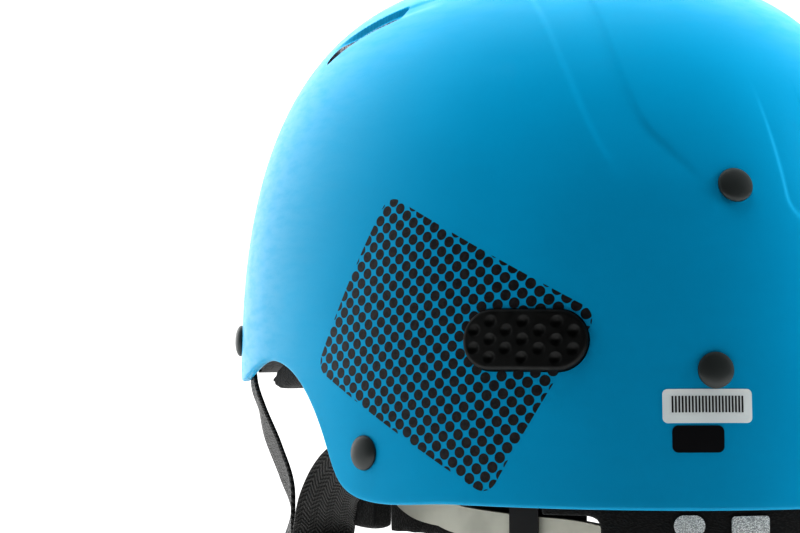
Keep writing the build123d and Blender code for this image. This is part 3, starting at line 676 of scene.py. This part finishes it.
def relief(points, normals):
    """How far the finished skin stands off the plain dome."""
    left = points.copy()
    left[:, 0] = np.abs(left[:, 0])
    facing = normals.copy()
    facing[:, 0] *= np.where(points[:, 0] < 0, -1, 1)
    height = np.zeros(len(points))

    near = (left[:, 2] > 0.08) & (left[:, 0] < 0.085)
    spots, way = left[near], facing[near]
    inside = side_of(spots, way, BAND_OUTER)
    past = -side_of(spots, way, BAND_INNER)
    band = smoothstep(inside, -BAND_EDGE / 2, BAND_EDGE / 2)
    band *= smoothstep(past, -BAND_EDGE / 2, BAND_EDGE / 2)
    band *= smoothstep(spots[:, 2], 0.092, 0.122)
    band *= smoothstep(spots[:, 1], -0.040, 0.020)
    height[near] += BAND_RISE * band

    x, z = points[:, 0], points[:, 2]
    drop = np.where(z < TAB_LOW + TAB_HALF_WIDTH, z - (TAB_LOW + TAB_HALF_WIDTH), 0)
    within = TAB_HALF_WIDTH - np.hypot(x, drop)
    tab = smoothstep(within, -TAB_EDGE / 2, TAB_EDGE / 2)
    tab *= 1 - smoothstep(z, 0.105, 0.135)
    height += TAB_RISE * tab * (points[:, 1] > 0)

    along, inward = vent_frame(left)
    scoop = smoothstep(inward, -4.5 * MM, -0.5 * MM)
    scoop *= 1 - smoothstep(inward, 4.0 * MM, 5.1 * MM)
    deep = smoothstep(along, -21 * MM, -4 * MM) * (1 - smoothstep(along, 17.0 * MM, 18.4 * MM))
    trail = smoothstep(along, 10 * MM, 18 * MM) * (1 - smoothstep(along, 20 * MM, 44 * MM))
    trail *= smoothstep(inward, -6 * MM, -1 * MM) * (1 - smoothstep(inward, 3 * MM, 5 * MM))
    crown = left[:, 2] > 0.12
    height -= (SCOOP_DEPTH * scoop * deep + 0.5 * MM * trail) * crown
    return height


def vent_frame(points):
    """Distances along the vent, towards the rear, and across it, towards the centre line."""
    x, y = VENT_MIDDLE
    spot = np.array([[x, y, 0.1]])
    spot = onto_skin(spot, (0, 0, 1), 0.08)[0]
    normal = skin_normal(spot)
    plan = np.array([cos(VENT_TURN), sin(VENT_TURN)])
    along = np.array([plan[0], plan[1], -(plan @ normal[:2]) / normal[2]])
    along /= np.linalg.norm(along)
    inward = np.cross(normal, along)
    if inward[0] > 0:
        inward = -inward
    offset = points - spot
    return offset @ along, offset @ inward


# ---------------------------------------------------------------- the shell
SHELL_COLUMNS = 1080
SHELL_ROWS = 250
SHELL_INNER_ROWS = 60
RIM_ROUND = 1.2 * MM
RIM_CLEAR = 2.6 * MM                   # the even grid starts this far above the rim
MEAN_RADIUS = 0.128                    # spaces the grid's rows; it shapes nothing
VENT_CUT = (0.11, 0.20)                # heights between which the vents are cut
PLUG_GAP = 0.6 * MM                    # the plug's opening is longer and wider by this much
PLUG_CUT = (-9 * MM, 8 * MM)           # how far in and out of the skin it is cut


def shell_cutters():
    """Closed loops, low and high, and paints of what is cut out of the shell."""
    turn = np.array([[cos(VENT_TURN), sin(VENT_TURN)], [-sin(VENT_TURN), cos(VENT_TURN)]])
    plan = stadium(*VENT_SIZE, 72) @ turn + np.array(VENT_MIDDLE)
    vent = [np.column_stack([plan, np.full(len(plan), height)]) for height in VENT_CUT]
    seat = Seat(*PLUG_PLACE)
    outline = stadium(PLUG_SIZE[0] + PLUG_GAP, PLUG_SIZE[1] + PLUG_GAP, 96)
    spots = seat.origin + outline[:, :1] * seat.level + outline[:, 1:] * seat.up
    plug = [spots + seat.normal * depth for depth in PLUG_CUT]
    for side in (1, -1):
        for loops, material in ((vent, CUT_EDGE_HIGHLIGHT), (plug, PAINTS["shell_blue"])):
            yield [loop * (side, 1, 1) for loop in loops], material


def build_shell():
    """The shell as one grid: its outer skin, the rounded rim and its inner skin."""
    bearing = np.linspace(0, 2 * pi, SHELL_COLUMNS, endpoint=False)
    heights = np.full(SHELL_COLUMNS, 0.02)
    for _ in range(60):
        heights = rim_height(skin(bearing, heights)[:, 1])

    # heights at even distances up the dome's side
    turn = np.linspace(0, pi / 2, 6000)
    rise = CROWN_HEIGHT * np.sin(turn) ** (2 / ROUNDNESS)
    reach = MEAN_RADIUS * np.cos(turn) ** (2 / ROUNDNESS)
    run = np.concatenate([[0], np.cumsum(np.hypot(np.diff(rise), np.diff(reach)))])

    def climb(rows, start):
        lowest = np.interp(heights, rise, run, left=0) + np.minimum(heights, 0) + start
        steps = np.linspace(0, 1, rows, endpoint=False)[:, None]
        way = lowest + (run[-1] - lowest) * steps
        return np.where(way < 0, way, np.interp(way, run, rise))

    edge = skin(bearing, heights)
    edge_normal = skin_normal(edge)
    along = np.roll(edge, -1, 0) - np.roll(edge, 1, 0)
    upward = np.cross(along, edge_normal)
    upward /= np.linalg.norm(upward, axis=1, keepdims=True)
    upward *= np.sign(upward[:, 2:3])

    def skin_rows(levels, depth):
        """Rows of the finished skin, sunk by a depth."""
        rows = np.array([skin(bearing, level) for level in levels])
        flat, normals = rows.reshape(-1, 3), skin_normal(rows).reshape(-1, 3)
        return (flat + normals * (relief(flat, normals) - depth)[:, None]).reshape(rows.shape)

    def round_over(centre, start, stop):
        """Rows of a quarter circle about a centre, from one direction to another."""
        turns = np.linspace(0, pi / 2, 7)
        return [(centre + RIM_ROUND * (start * cos(t) + stop * sin(t)))[None] for t in turns]

    grid = [skin_rows(climb(SHELL_ROWS, RIM_CLEAR)[::-1], 0.0)]
    grid += round_over(edge + (upward - edge_normal) * RIM_ROUND, edge_normal, -upward)
    centre = edge + upward * RIM_ROUND - edge_normal * (SHELL_THICKNESS - RIM_ROUND)
    grid += round_over(centre, -upward, -edge_normal)
    grid.append(skin_rows(climb(SHELL_INNER_ROWS, RIM_CLEAR), SHELL_THICKNESS))
    points = np.concatenate(grid)
    count = points.shape[0]
    faces = grid_faces(count, SHELL_COLUMNS, closed=True)
    points = points.reshape(-1, 3)
    top = len(points)
    crown = np.array([[0, CROWN_LEAN * CROWN_HEIGHT, CROWN_HEIGHT]])
    points = np.concatenate([points, crown, crown - [[0, 0, SHELL_THICKNESS]]])
    last = (count - 1) * SHELL_COLUMNS
    for i in range(SHELL_COLUMNS):
        j = (i + 1) % SHELL_COLUMNS
        faces.append((j, i, top))
        faces.append((last + i, last + j, top + 1))
    shell = make_object("shell_skin", points, faces, "shell_blue")
    # the vents' cut faces get the pale painted-highlight material
    shell.data.materials.append(CUT_EDGE_HIGHLIGHT)

    for index, (loops, material) in enumerate(shell_cutters()):
        count = len(loops[0])
        faces = grid_faces(2, count, closed=True)
        faces += [tuple(range(count))[::-1], tuple(range(count, 2 * count))]
        cutter = make_object(f"cutter_{index}", np.concatenate(loops), faces, None,
                             smooth=False, material=material)
        clean_up(cutter)
        cut = shell.modifiers.new("cut", "BOOLEAN")
        cut.operation = "DIFFERENCE"
        cut.object = cutter
        cut.solver = "EXACT"
        cut.material_mode = "TRANSFER"
        apply_modifiers(shell)
        bpy.data.objects.remove(cutter)
    shell.data.set_sharp_from_angle(angle=radians(38))
    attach(shell, "helmet")
    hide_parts("outer_shell")


def apply_modifiers(piece):
    """Makes the modifiers' result the piece's own mesh."""
    depsgraph = bpy.context.evaluated_depsgraph_get()
    final = bpy.data.meshes.new_from_object(piece.evaluated_get(depsgraph), depsgraph=depsgraph)
    old = piece.data
    piece.modifiers.clear()
    piece.data = final
    bpy.data.meshes.remove(old)


# ---------------------------------------------------------------- dotted panels
# Corners of the panel as points (x, y, z) in millimetres on the wearer's left.
PANEL_CORNERS = [(100.2, 39.1, 95.9), (66.0, 107.3, 58.5), (91.7, 84.8, 2.9), (113.8, 14.8, 40.5)]
PANEL_SEAT = (56.0, 46.0)              # bearing in degrees and height in millimetres
PANEL_ROUND = 5.0 * MM
DOT_PITCH = 3.85 * MM
DOT_RADIUS = 1.70 * MM
DOT_SIDES = 36
DOT_LIFT = 0.05 * MM
DOT_TURN = radians(38.0)
DOT_REACH = 60                         # dots tried each way from the seat, more than fit
DOT_LEAST = 0.25 * MM * MM             # a clipped dot with less area is left out
DOT_UNDER = 0.6 * MM                   # so is one whose middle is this far under the plug
LABEL_SEAT = (21.0, 31.0)
BAR_LIFT = 0.27 * MM
BAR_WIDTH = 0.5 * MM
BAR_LOW, BAR_HIGH = -1.9 * MM, 3.0 * MM


def rounded_polygon(corners, radius):
    """The corners' outline, counter-clockwise, with each corner rounded off."""
    corners = np.array(corners)
    count = len(corners)
    outline = []
    for i in range(count):
        here, before, after = corners[i], corners[i - 1], corners[(i + 1) % count]
        a = (before - here) / np.linalg.norm(before - here)
        b = (after - here) / np.linalg.norm(after - here)
        half = np.arccos(np.clip(a @ b, -1, 1)) / 2
        centre = here + (a + b) / np.linalg.norm(a + b) * radius / sin(half)
        start = here + a * radius / np.tan(half) - centre
        stop = here + b * radius / np.tan(half) - centre
        first, last = np.arctan2(start[1], start[0]), np.arctan2(stop[1], stop[0])
        sweep = (last - first + pi) % (2 * pi) - pi
        for t in np.linspace(0, 1, 10):
            turn = first + sweep * t
            outline.append(centre + radius * np.array([cos(turn), sin(turn)]))
    return np.array(outline)


def clip_to(polygon, outline):
    """The part of a small convex polygon inside a convex outline, both counter-clockwise."""
    kept = [np.array(p) for p in polygon]
    for a, b in zip(outline, np.roll(outline, -1, 0)):
        way = b - a
        if not kept:
            return []
        result = []
        for p, q in zip(kept, kept[1:] + kept[:1]):
            p_in = way[0] * (p[1] - a[1]) - way[1] * (p[0] - a[0])
            q_in = way[0] * (q[1] - a[1]) - way[1] * (q[0] - a[0])
            if p_in >= 0:
                result.append(p)
            if p_in * q_in < 0:
                result.append(p + (q - p) * p_in / (p_in - q_in))
        kept = result
    return kept


def ink_shapes(name, seat, shapes, lift=DOT_LIFT):
    """Thin printed shapes lying on the skin, each closed underneath."""
    points, faces = [], []
    for shape in shapes:
        shape = np.array(shape)
        first, count = len(points), len(shape)
        points += list(seat.at(shape, lift)) + list(seat.at(shape, -lift))
        faces.append(tuple(range(first, first + count)))
        faces.append(tuple(range(first + count, first + 2 * count))[::-1])
        for i in range(count):
            j = (i + 1) % count
            faces.append((first + j, first + i, first + count + i, first + count + j))
    make_object(name, points, faces, None, "helmet", smooth=False, material=INK,
                flip=(seat.side > 0) != seat_turns_left(seat))


def seat_turns_left(seat):
    """Whether level, up and normal are right-handed."""
    return np.cross(seat.level, seat.up) @ seat.normal > 0


def under_plug(spot, plug):
    """Whether a point of the skin lies under the side plug."""
    across, upward = plug.flat((abs(spot[0]), spot[1], spot[2]))
    past = max(abs(across) - (PLUG_SIZE[0] - PLUG_SIZE[1]) / 2, 0)
    return np.hypot(past, upward) < PLUG_SIZE[1] / 2 - DOT_UNDER


def build_dots():
    turns = 2 * pi * np.arange(DOT_SIDES) / DOT_SIDES
    circle = DOT_RADIUS * np.stack([np.cos(turns), np.sin(turns)], -1)
    axis = np.array([cos(DOT_TURN), sin(DOT_TURN)])
    other = np.array([-axis[1], axis[0]])
    plug = Seat(*PLUG_PLACE)
    steps = range(-DOT_REACH, DOT_REACH + 1)
    centres = [(axis * i + other * j) * DOT_PITCH for i in steps for j in steps]
    for side, word in ((1, "left"), (-1, "right")):
        seat = Seat(*PANEL_SEAT, side)
        corners = seat.flat(np.array(PANEL_CORNERS) * MM)
        following = np.roll(corners, -1, 0)
        if (corners[:, 0] * following[:, 1] - following[:, 0] * corners[:, 1]).sum() < 0:
            corners = corners[::-1]
        outline = rounded_polygon(corners, PANEL_ROUND)
        low, high = outline.min(0) - DOT_RADIUS, outline.max(0) + DOT_RADIUS
        shapes = []
        for centre in centres:
            if np.any(centre < low) or np.any(centre > high):
                continue
            if under_plug(seat.at(centre[None])[0], plug):
                continue
            shape = clip_to(centre + circle, outline)
            if len(shape) > 2 and polygon_area(shape) > DOT_LEAST:
                shapes.append(shape)
        ink_shapes(f"dot_panel_{word}", seat, shapes)


def build_label_bars():
    """Plain evenly spaced bars on the pale label."""
    bars = []
    for left in np.arange(-10.75, 10.5, 1.0) * MM:
        right = left + BAR_WIDTH
        bars.append([(left, BAR_LOW), (right, BAR_LOW), (right, BAR_HIGH), (left, BAR_HIGH)])
    ink_shapes("label_bars", Seat(*LABEL_SEAT), bars, lift=BAR_LIFT)


def polygon_area(shape):
    shape = np.array(shape)
    other = np.roll(shape, -1, 0)
    return abs((shape[:, 0] * other[:, 1] - shape[:, 1] * other[:, 0]).sum()) / 2


# ---------------------------------------------------------------- side plugs
PLUG_PROUD = 2.0 * MM
PLUG_EDGE = 1.5 * MM
DIMPLE_PITCH = (5.25 * MM, 5.5 * MM)
DIMPLE_RADIUS = 2.0 * MM
DIMPLE_DEPTH = 1.15 * MM
PLUG_SKIRT = (0.3 * MM, -0.2 * MM, -3.5 * MM)   # heights of the plug's side below its edge
PLUG_MERGE = 2e-6


def build_plug(side, word):
    seat = Seat(*PLUG_PLACE, side)
    count, rings = 240, 74
    length, width = PLUG_SIZE
    spots = []
    for column in range(-3, 4):
        rows = (-0.5, 0.5) if column % 2 else (-1, 0, 1)
        spots += [(column * DIMPLE_PITCH[0], row * DIMPLE_PITCH[1]) for row in rows]
    rows, lifts = [], []
    for ring in range(rings + 1):
        inset = (width / 2) * (1 - ring / rings)
        outline = stadium(length - 2 * inset, max(width - 2 * inset, 1e-7), count)
        fall = max(0.0, PLUG_EDGE - inset)
        lift = PLUG_PROUD - PLUG_EDGE + sqrt(PLUG_EDGE**2 - fall**2)
        heights = np.full(count, lift)
        for x, y in spots:
            gap = np.hypot(outline[:, 0] - x, outline[:, 1] - y) / DIMPLE_RADIUS
            heights -= DIMPLE_DEPTH * np.clip(1 - gap**2, 0, 1) ** 1.3
        rows.append(outline)
        lifts.append(heights)
    for lift in PLUG_SKIRT:
        rows.append(stadium(length, width, count))
        lifts.append(np.full(count, lift))
    points = seat.at(np.array(rows), np.array(lifts))
    faces = grid_faces(len(rows), count, closed=True)
    faces.append(tuple(range((len(rows) - 1) * count, len(rows) * count)))
    piece = make_object(f"plug_{word}", points.reshape(-1, 3), faces, "plug_rubber", "helmet")
    clean_up(piece, PLUG_MERGE)
    piece.data.set_sharp_from_angle(angle=radians(60))
    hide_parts(f"side_plug_{word}")


RIVETS = {
    "strap_rivets": (((119.7, 48.0), (72.8, 14.4)), 7.6 * MM),
    "liner_rivets": (((13.3, 97.4), (19.5, 41.6)), 5.0 * MM),
}
CAP_RADIUS = 5.5 * MM
CAP_HEIGHT = 2.4 * MM
CAP_EDGE = 0.35 * MM
CAP_CHAMFER = 0.1 * MM
STEM_RADIUS = 2.5 * MM
RIVET_SPOKES = 72


def build_rivets(node, places, stem):
    """Domed caps with their stems, turned about each seat's normal."""
    dome = CAP_HEIGHT - CAP_EDGE
    slants = np.linspace(0.03, pi / 2, 16)
    profile = [(CAP_RADIUS * sin(t), CAP_EDGE + dome * cos(t)) for t in slants]
    profile += [(CAP_RADIUS, CAP_CHAMFER), (CAP_RADIUS - CAP_CHAMFER, 0)]
    profile += [(STEM_RADIUS, 0), (STEM_RADIUS, -stem)]
    points, faces = [], []
    for bearing, height in places:
        seat = Seat(bearing, height)
        for side in (1, -1):
            first = len(points)
            for reach, lift in profile:
                for turn in 2 * pi * np.arange(RIVET_SPOKES) / RIVET_SPOKES:
                    spot = seat.origin + seat.normal * lift
                    spot = spot + reach * (seat.level * cos(turn) + seat.up * sin(turn))
                    points.append(spot * (side, 1, 1))
            last = len(points) - RIVET_SPOKES
            faces += grid_faces(len(profile), RIVET_SPOKES, closed=True, first=first)
            faces.append(tuple(range(first, first + RIVET_SPOKES))[::-1])
            faces.append(tuple(range(last, last + RIVET_SPOKES)))
    piece = make_object(f"{node}_domed", points, faces, "rivet_dark", "helmet")
    clean_up(piece)
    piece.data.set_sharp_from_angle(angle=radians(50))
    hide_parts(node)


# ---------------------------------------------------------------- straps
WEB_WIDTH = 20.0 * MM
WEB_THICKNESS = 1.5 * MM
HARNESS_FRONT = np.array([101.2, -56.0, 29.5]) * MM
HARNESS_REAR = np.array([110.0, 16.0, 2.0]) * MM
DIVIDER = (-2.0 * MM, -44.0 * MM)      # y, z
BAR_REACH = 18.0 * MM
CHIN_REACH = 12.0 * MM
SPREAD = radians(12.0)
LOOP_RADIUS = 3.15 * MM
CHIN_LENGTH = 62.0 * MM
WEB_STEP = 0.6 * MM
WEB_COLUMNS = 26
# Webbing round a bar: how far along it above the bar and how far off its plane, in millimetres.
WRAP_DOWN = [(17, 0.85), (11, 1.3), (6.5, 2.3), (2.6, 3.05)]
WRAP_UP = [(2.6, -3.0), (6.5, -2.1), (10.5, -1.25)]
WRAP_END = -1.05 * MM

plan = HARNESS_REAR[:2] - HARNESS_FRONT[:2]
HEADING = np.array([*plan / np.linalg.norm(plan), 0.0])
HARNESS_NORMAL = np.array([HEADING[1], -HEADING[0], 0.0])


def on_harness(s, h):
    """A point of the harness plane: s level to the rear from the front exit, h the height."""
    return np.array([*HARNESS_FRONT[:2], 0.0]) + HEADING * s + np.array([0, 0, h])


def harness_bars():
    """Each webbing bar's middle and the direction from it to the far end of its webbing."""
    middle_s = (DIVIDER[0] - HARNESS_FRONT[1]) / HEADING[1]
    middle = np.array([middle_s, DIVIDER[1]])
    rear_s = float(np.linalg.norm(plan))
    bars = {}
    for name, exit_at, spread in (
        ("front", np.array([0.0, HARNESS_FRONT[2]]), SPREAD),
        ("rear", np.array([rear_s, HARNESS_REAR[2]]), -SPREAD),
    ):
        out = (exit_at - middle) / np.linalg.norm(exit_at - middle)
        turn = np.array([[cos(spread), -sin(spread)], [sin(spread), cos(spread)]])
        bar = middle + turn @ out * BAR_REACH
        way = (exit_at - bar) / np.linalg.norm(exit_at - bar)
        bars[name] = (bar, way)
    bars["chin"] = (middle - [0, CHIN_REACH], np.array([0.0, -1.0]))
    bars["buckle"] = (bars["chin"][0] - [0, CHIN_LENGTH], np.array([0.0, 1.0]))
    return bars


BARS = harness_bars()


def bar_wrap(bar, tail=15.0 * MM):
    """Path points and widths of webbing that comes down to a bar, goes round it and back up."""
    spot, way = BARS[bar]
    up = HEADING * way[0] + np.array([0, 0, way[1]])
    loop = [(-LOOP_RADIUS * sin(t), LOOP_RADIUS * cos(t)) for t in np.linspace(0, pi, 7)]
    steps = [*np.array(WRAP_DOWN) * MM, *loop, *np.array(WRAP_UP) * MM, (tail, WRAP_END)]
    points = [on_harness(*spot) + up * along + HARNESS_NORMAL * lift for along, lift in steps]
    return points, [np.cross(HARNESS_NORMAL, up)] * len(points)


def smooth_path(points, widths):
    """A smooth run through the points, evenly divided, with its width directions."""
    points, widths = np.array(points), np.array(widths, float)
    for i in range(1, len(widths)):
        if widths[i] @ widths[i - 1] < 0:
            widths[i] = -widths[i]
    gaps = np.linalg.norm(np.diff(points, axis=0), axis=1) ** 0.5
    knots = np.concatenate([[0], np.cumsum(gaps)])
    both = np.concatenate([points, widths], 1)
    slopes = np.zeros_like(both)
    slopes[1:-1] = (
        (both[1:-1] - both[:-2]) / gaps[:-1, None] * gaps[1:, None]
        + (both[2:] - both[1:-1]) / gaps[1:, None] * gaps[:-1, None]
    ) / (gaps[:-1] + gaps[1:])[:, None]
    slopes[0] = (both[1] - both[0]) / gaps[0]
    slopes[-1] = (both[-1] - both[-2]) / gaps[-1]
    fine = []
    for i in range(len(points) - 1):
        t = np.linspace(0, 1, 60, endpoint=i == len(points) - 2)[:, None]
        fine.append(cubic(t, gaps[i], both[i], both[i + 1], slopes[i], slopes[i + 1]))
    fine = np.concatenate(fine)
    run = np.concatenate([[0], np.cumsum(np.linalg.norm(np.diff(fine[:, :3], axis=0), axis=1))])
    count = int(run[-1] / WEB_STEP) + 1
    at = np.linspace(0, run[-1], count)
    even = np.stack([np.interp(at, run, fine[:, k]) for k in range(6)], 1)
    centre, width = even[:, :3], even[:, 3:]
    tangent = np.gradient(centre, axis=0)
    tangent /= np.linalg.norm(tangent, axis=1, keepdims=True)
    width = width - (width * tangent).sum(1, keepdims=True) * tangent
    width /= np.linalg.norm(width, axis=1, keepdims=True)
    return centre, width, np.cross(width, tangent), at


def web_profile():
    """The webbing's cross-section: outer face, right selvage, inner face, left selvage."""
    half, edge = WEB_WIDTH / 2, WEB_THICKNESS / 2
    across = np.linspace(edge - half, half - edge, WEB_COLUMNS + 1)
    face = np.stack([across, np.full(len(across), edge)], -1)
    turns = pi / 2 - pi * np.arange(1, 6) / 6
    selvage = np.stack([half - edge + edge * np.cos(turns), edge * np.sin(turns)], -1)
    return np.concatenate([face, selvage, -face, -selvage])


def ribbon(name, points, widths, side):
    """Flat webbing with rounded selvages along a path; UVs are metres across and along."""
    centre, across, facing, at = smooth_path(points, widths)
    profile = web_profile()
    grid = (
        centre[:, None] + across[:, None] * profile[None, :, :1]
        + facing[:, None] * profile[None, :, 1:]
    )
    grid[..., 0] *= side
    count = len(profile)
    faces = grid_faces(len(centre), count, closed=True)
    last = (len(centre) - 1) * count
    faces += [tuple(range(count))[::-1], tuple(range(last, last + count))]
    piece = make_object(name, grid.reshape(-1, 3), faces, "webbing")
    clean_up(piece)
    layer = piece.data.uv_layers.new(name="strip")
    index = np.zeros(len(piece.data.loops), int)
    piece.data.loops.foreach_get("vertex_index", index)
    along = np.repeat(at, count)
    sideways = np.tile(profile[:, 0] + WEB_WIDTH / 2, len(centre))
    uv = np.stack([sideways[index], along[index]], 1)
    layer.data.foreach_set("uv", uv.reshape(-1).astype(np.float32))
    piece.data.set_sharp_from_angle(angle=radians(60))
    return piece


# points in millimetres on the wearer's left, each with the direction of the webbing's width
FRONT_PATH = [
    ((95.6, -70.8, 47.5), (0.32, 0.62, 0.56)),
    ((99.2, -63.5, 38.0), (0.30, 0.70, 0.60)),
    ((101.2, -56.0, 29.5), (0.42, 0.64, 0.60)),
    ((102.0, -49.0, 20.6), (0.38, 0.67, 0.60)),
    ((102.8, -34.8, 7.6), (0.36, 0.68, 0.60)),
    ((103.8, -23.3, -5.1), (0.36, 0.68, 0.60)),
]
REAR_PATH = [
    ((106.1, 39.4, 14.2), (-0.05, 0.25, -0.93)),
    ((108.6, 29.5, 9.6), (-0.20, 0.50, -0.85)),
    ((109.6, 20.5, 4.4), (-0.40, 0.60, -0.65)),
    ((109.2, 13.0, -3.6), (-0.66, 0.62, -0.36)),
    ((107.4, 6.4, -12.5), (-0.84, 0.50, -0.10)),
]


def build_straps(side, word):
    fall = HARNESS_REAR - HARNESS_FRONT
    below = np.cross(HARNESS_NORMAL, fall / np.linalg.norm(fall))
    below *= -np.sign(below[2])
    for end, path, tail, skipped, exit_at in (
        ("front", FRONT_PATH, 15 * MM, 1, HARNESS_FRONT),
        ("rear", REAR_PATH, 12 * MM, 2, HARNESS_REAR),
    ):
        wrap, wrap_widths = bar_wrap(end, tail)
        points = [np.array(p) * MM for p, _ in path] + wrap[skipped:]
        widths = [np.array(w) for _, w in path] + wrap_widths[skipped:]
        piece = ribbon(f"harness_strap_{end}_{word}", points, widths, side)
        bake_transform(piece)
        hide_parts(f"{end}_strap_top_{word}", f"{end}_strap_{word}")

    top, top_widths = bar_wrap("chin")
    low, low_widths = bar_wrap("buckle")
    points = top[:0:-1] + low[1:]
    widths = top_widths[:0:-1] + low_widths[1:]
    chin = ribbon(f"chin_strap_web_{word}", points, widths, side)
    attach(chin, f"chin_{word}")
    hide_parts(f"chin_strap_{word}")


# ---------------------------------------------------------------- pads
PAD_SHRINK = 0.7 * MM
PAD_SWELL = 1.6 * MM                   # the cloth moves less than this
PAD_MERGE = 1e-6
PAD_PRESSURE = 4.0
CLOTH_FRAMES = 20
DROP_FROM, DROP_TO = 0.018, 0.040      # distances towards the brow between which a pad drops


def soft_pad(node, body, voxel, drop=0.0):
    """A padded piece in the place of a plain CAD solid: cloth over it, blown up a little."""
    source = NODES[node]
    piece = bpy.data.objects.new(f"{node}_soft", source.data.copy())
    scene.collection.objects.link(piece)
    piece.data.materials.clear()
    piece.data.materials.append(PAINTS["pad_fabric"])
    clean_up(piece, PAD_MERGE)
    remesh = piece.modifiers.new("remesh", "REMESH")
    remesh.mode = "VOXEL"
    remesh.voxel_size = voxel
    apply_modifiers(piece)
    smooth_mesh(piece, 4, 0.6)
    move_along_normals(piece, -PAD_SHRINK)
    if drop:
        points = read_points(piece.data)
        points[:, 2] -= drop * smoothstep(-points[:, 1], DROP_FROM, DROP_TO)
        write_points(piece.data, points)
    start = read_points(piece.data)
    cloth = piece.modifiers.new("cloth", "CLOTH")
    cloth.settings.use_pressure = True
    cloth.settings.uniform_pressure_force = PAD_PRESSURE
    cloth.settings.effector_weights.gravity = 0.0
    cloth.settings.quality = 5
    cloth.collision_settings.use_collision = False
    cloth.point_cache.frame_end = CLOTH_FRAMES
    for step in range(1, CLOTH_FRAMES + 1):
        scene.frame_set(step)
    apply_modifiers(piece)
    scene.frame_set(1)
    blown = read_points(piece.data)
    move = blown - start
    size = np.linalg.norm(move, axis=1, keepdims=True)
    scale = np.tanh(size / PAD_SWELL) * PAD_SWELL / np.maximum(size, 1e-9)
    write_points(piece.data, start + move * scale)
    smooth_mesh(piece, 1, 0.5)
    divide = piece.modifiers.new("divide", "SUBSURF")
    divide.levels = 1
    divide.render_levels = 1
    apply_modifiers(piece)
    piece.data.shade_smooth()
    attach(piece, body)
    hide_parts(node)


def read_points(mesh):
    points = np.zeros(len(mesh.vertices) * 3)
    mesh.vertices.foreach_get("co", points)
    return points.reshape(-1, 3)


def write_points(mesh, points):
    mesh.vertices.foreach_set("co", np.asarray(points, float).reshape(-1))
    mesh.update()


def smooth_mesh(piece, times, factor):
    smooth = piece.modifiers.new("smooth", "SMOOTH")
    smooth.iterations = times
    smooth.factor = factor
    apply_modifiers(piece)


def move_along_normals(piece, distance):
    mesh = piece.data
    normals = np.zeros(len(mesh.vertices) * 3)
    mesh.vertices.foreach_get("normal", normals)
    write_points(mesh, read_points(mesh) + normals.reshape(-1, 3) * distance)


# ---------------------------------------------------------------- build
add_camera()
add_world()
for lamp_name, (lamp_place, lamp_power) in LAMPS.items():
    add_area_light(lamp_name, lamp_place, lamp_power)
add_floor()

slots = {part["node"]: part["material_slot"] for part in frame["record"]["subparts"]}
for node in NODES.values():
    for index in range(len(node.data.materials)):
        node.data.materials[index] = PAINTS[slots[node.name]]

build_shell()
build_dots()
build_label_bars()
for node, (places, stem) in RIVETS.items():
    build_rivets(node, places, stem)
for side, word in ((1, "left"), (-1, "right")):
    build_plug(side, word)
    build_straps(side, word)

for node, voxel in (("crown_pad", 2.2), ("brow_pad", 2.2), ("nape_flap", 1.6)):
    soft_pad(node, "helmet", voxel * MM)
for node, drop in (("side_pad", 0), ("rear_pad", 0), ("lobe_pad", 0), ("ear_pad", 3.0)):
    for word in ("left", "right"):
        soft_pad(f"{node}_{word}", "helmet", 1.8 * MM, drop * MM)
soft_pad("cradle_pad", "cradle", 1.8 * MM)
for word in ("left", "right"):
    soft_pad(f"band_lining_{word}", f"arm_{word}", 1.4 * MM)

scene.view_settings.view_transform = "Standard"
scene.view_settings.look = "High Contrast"
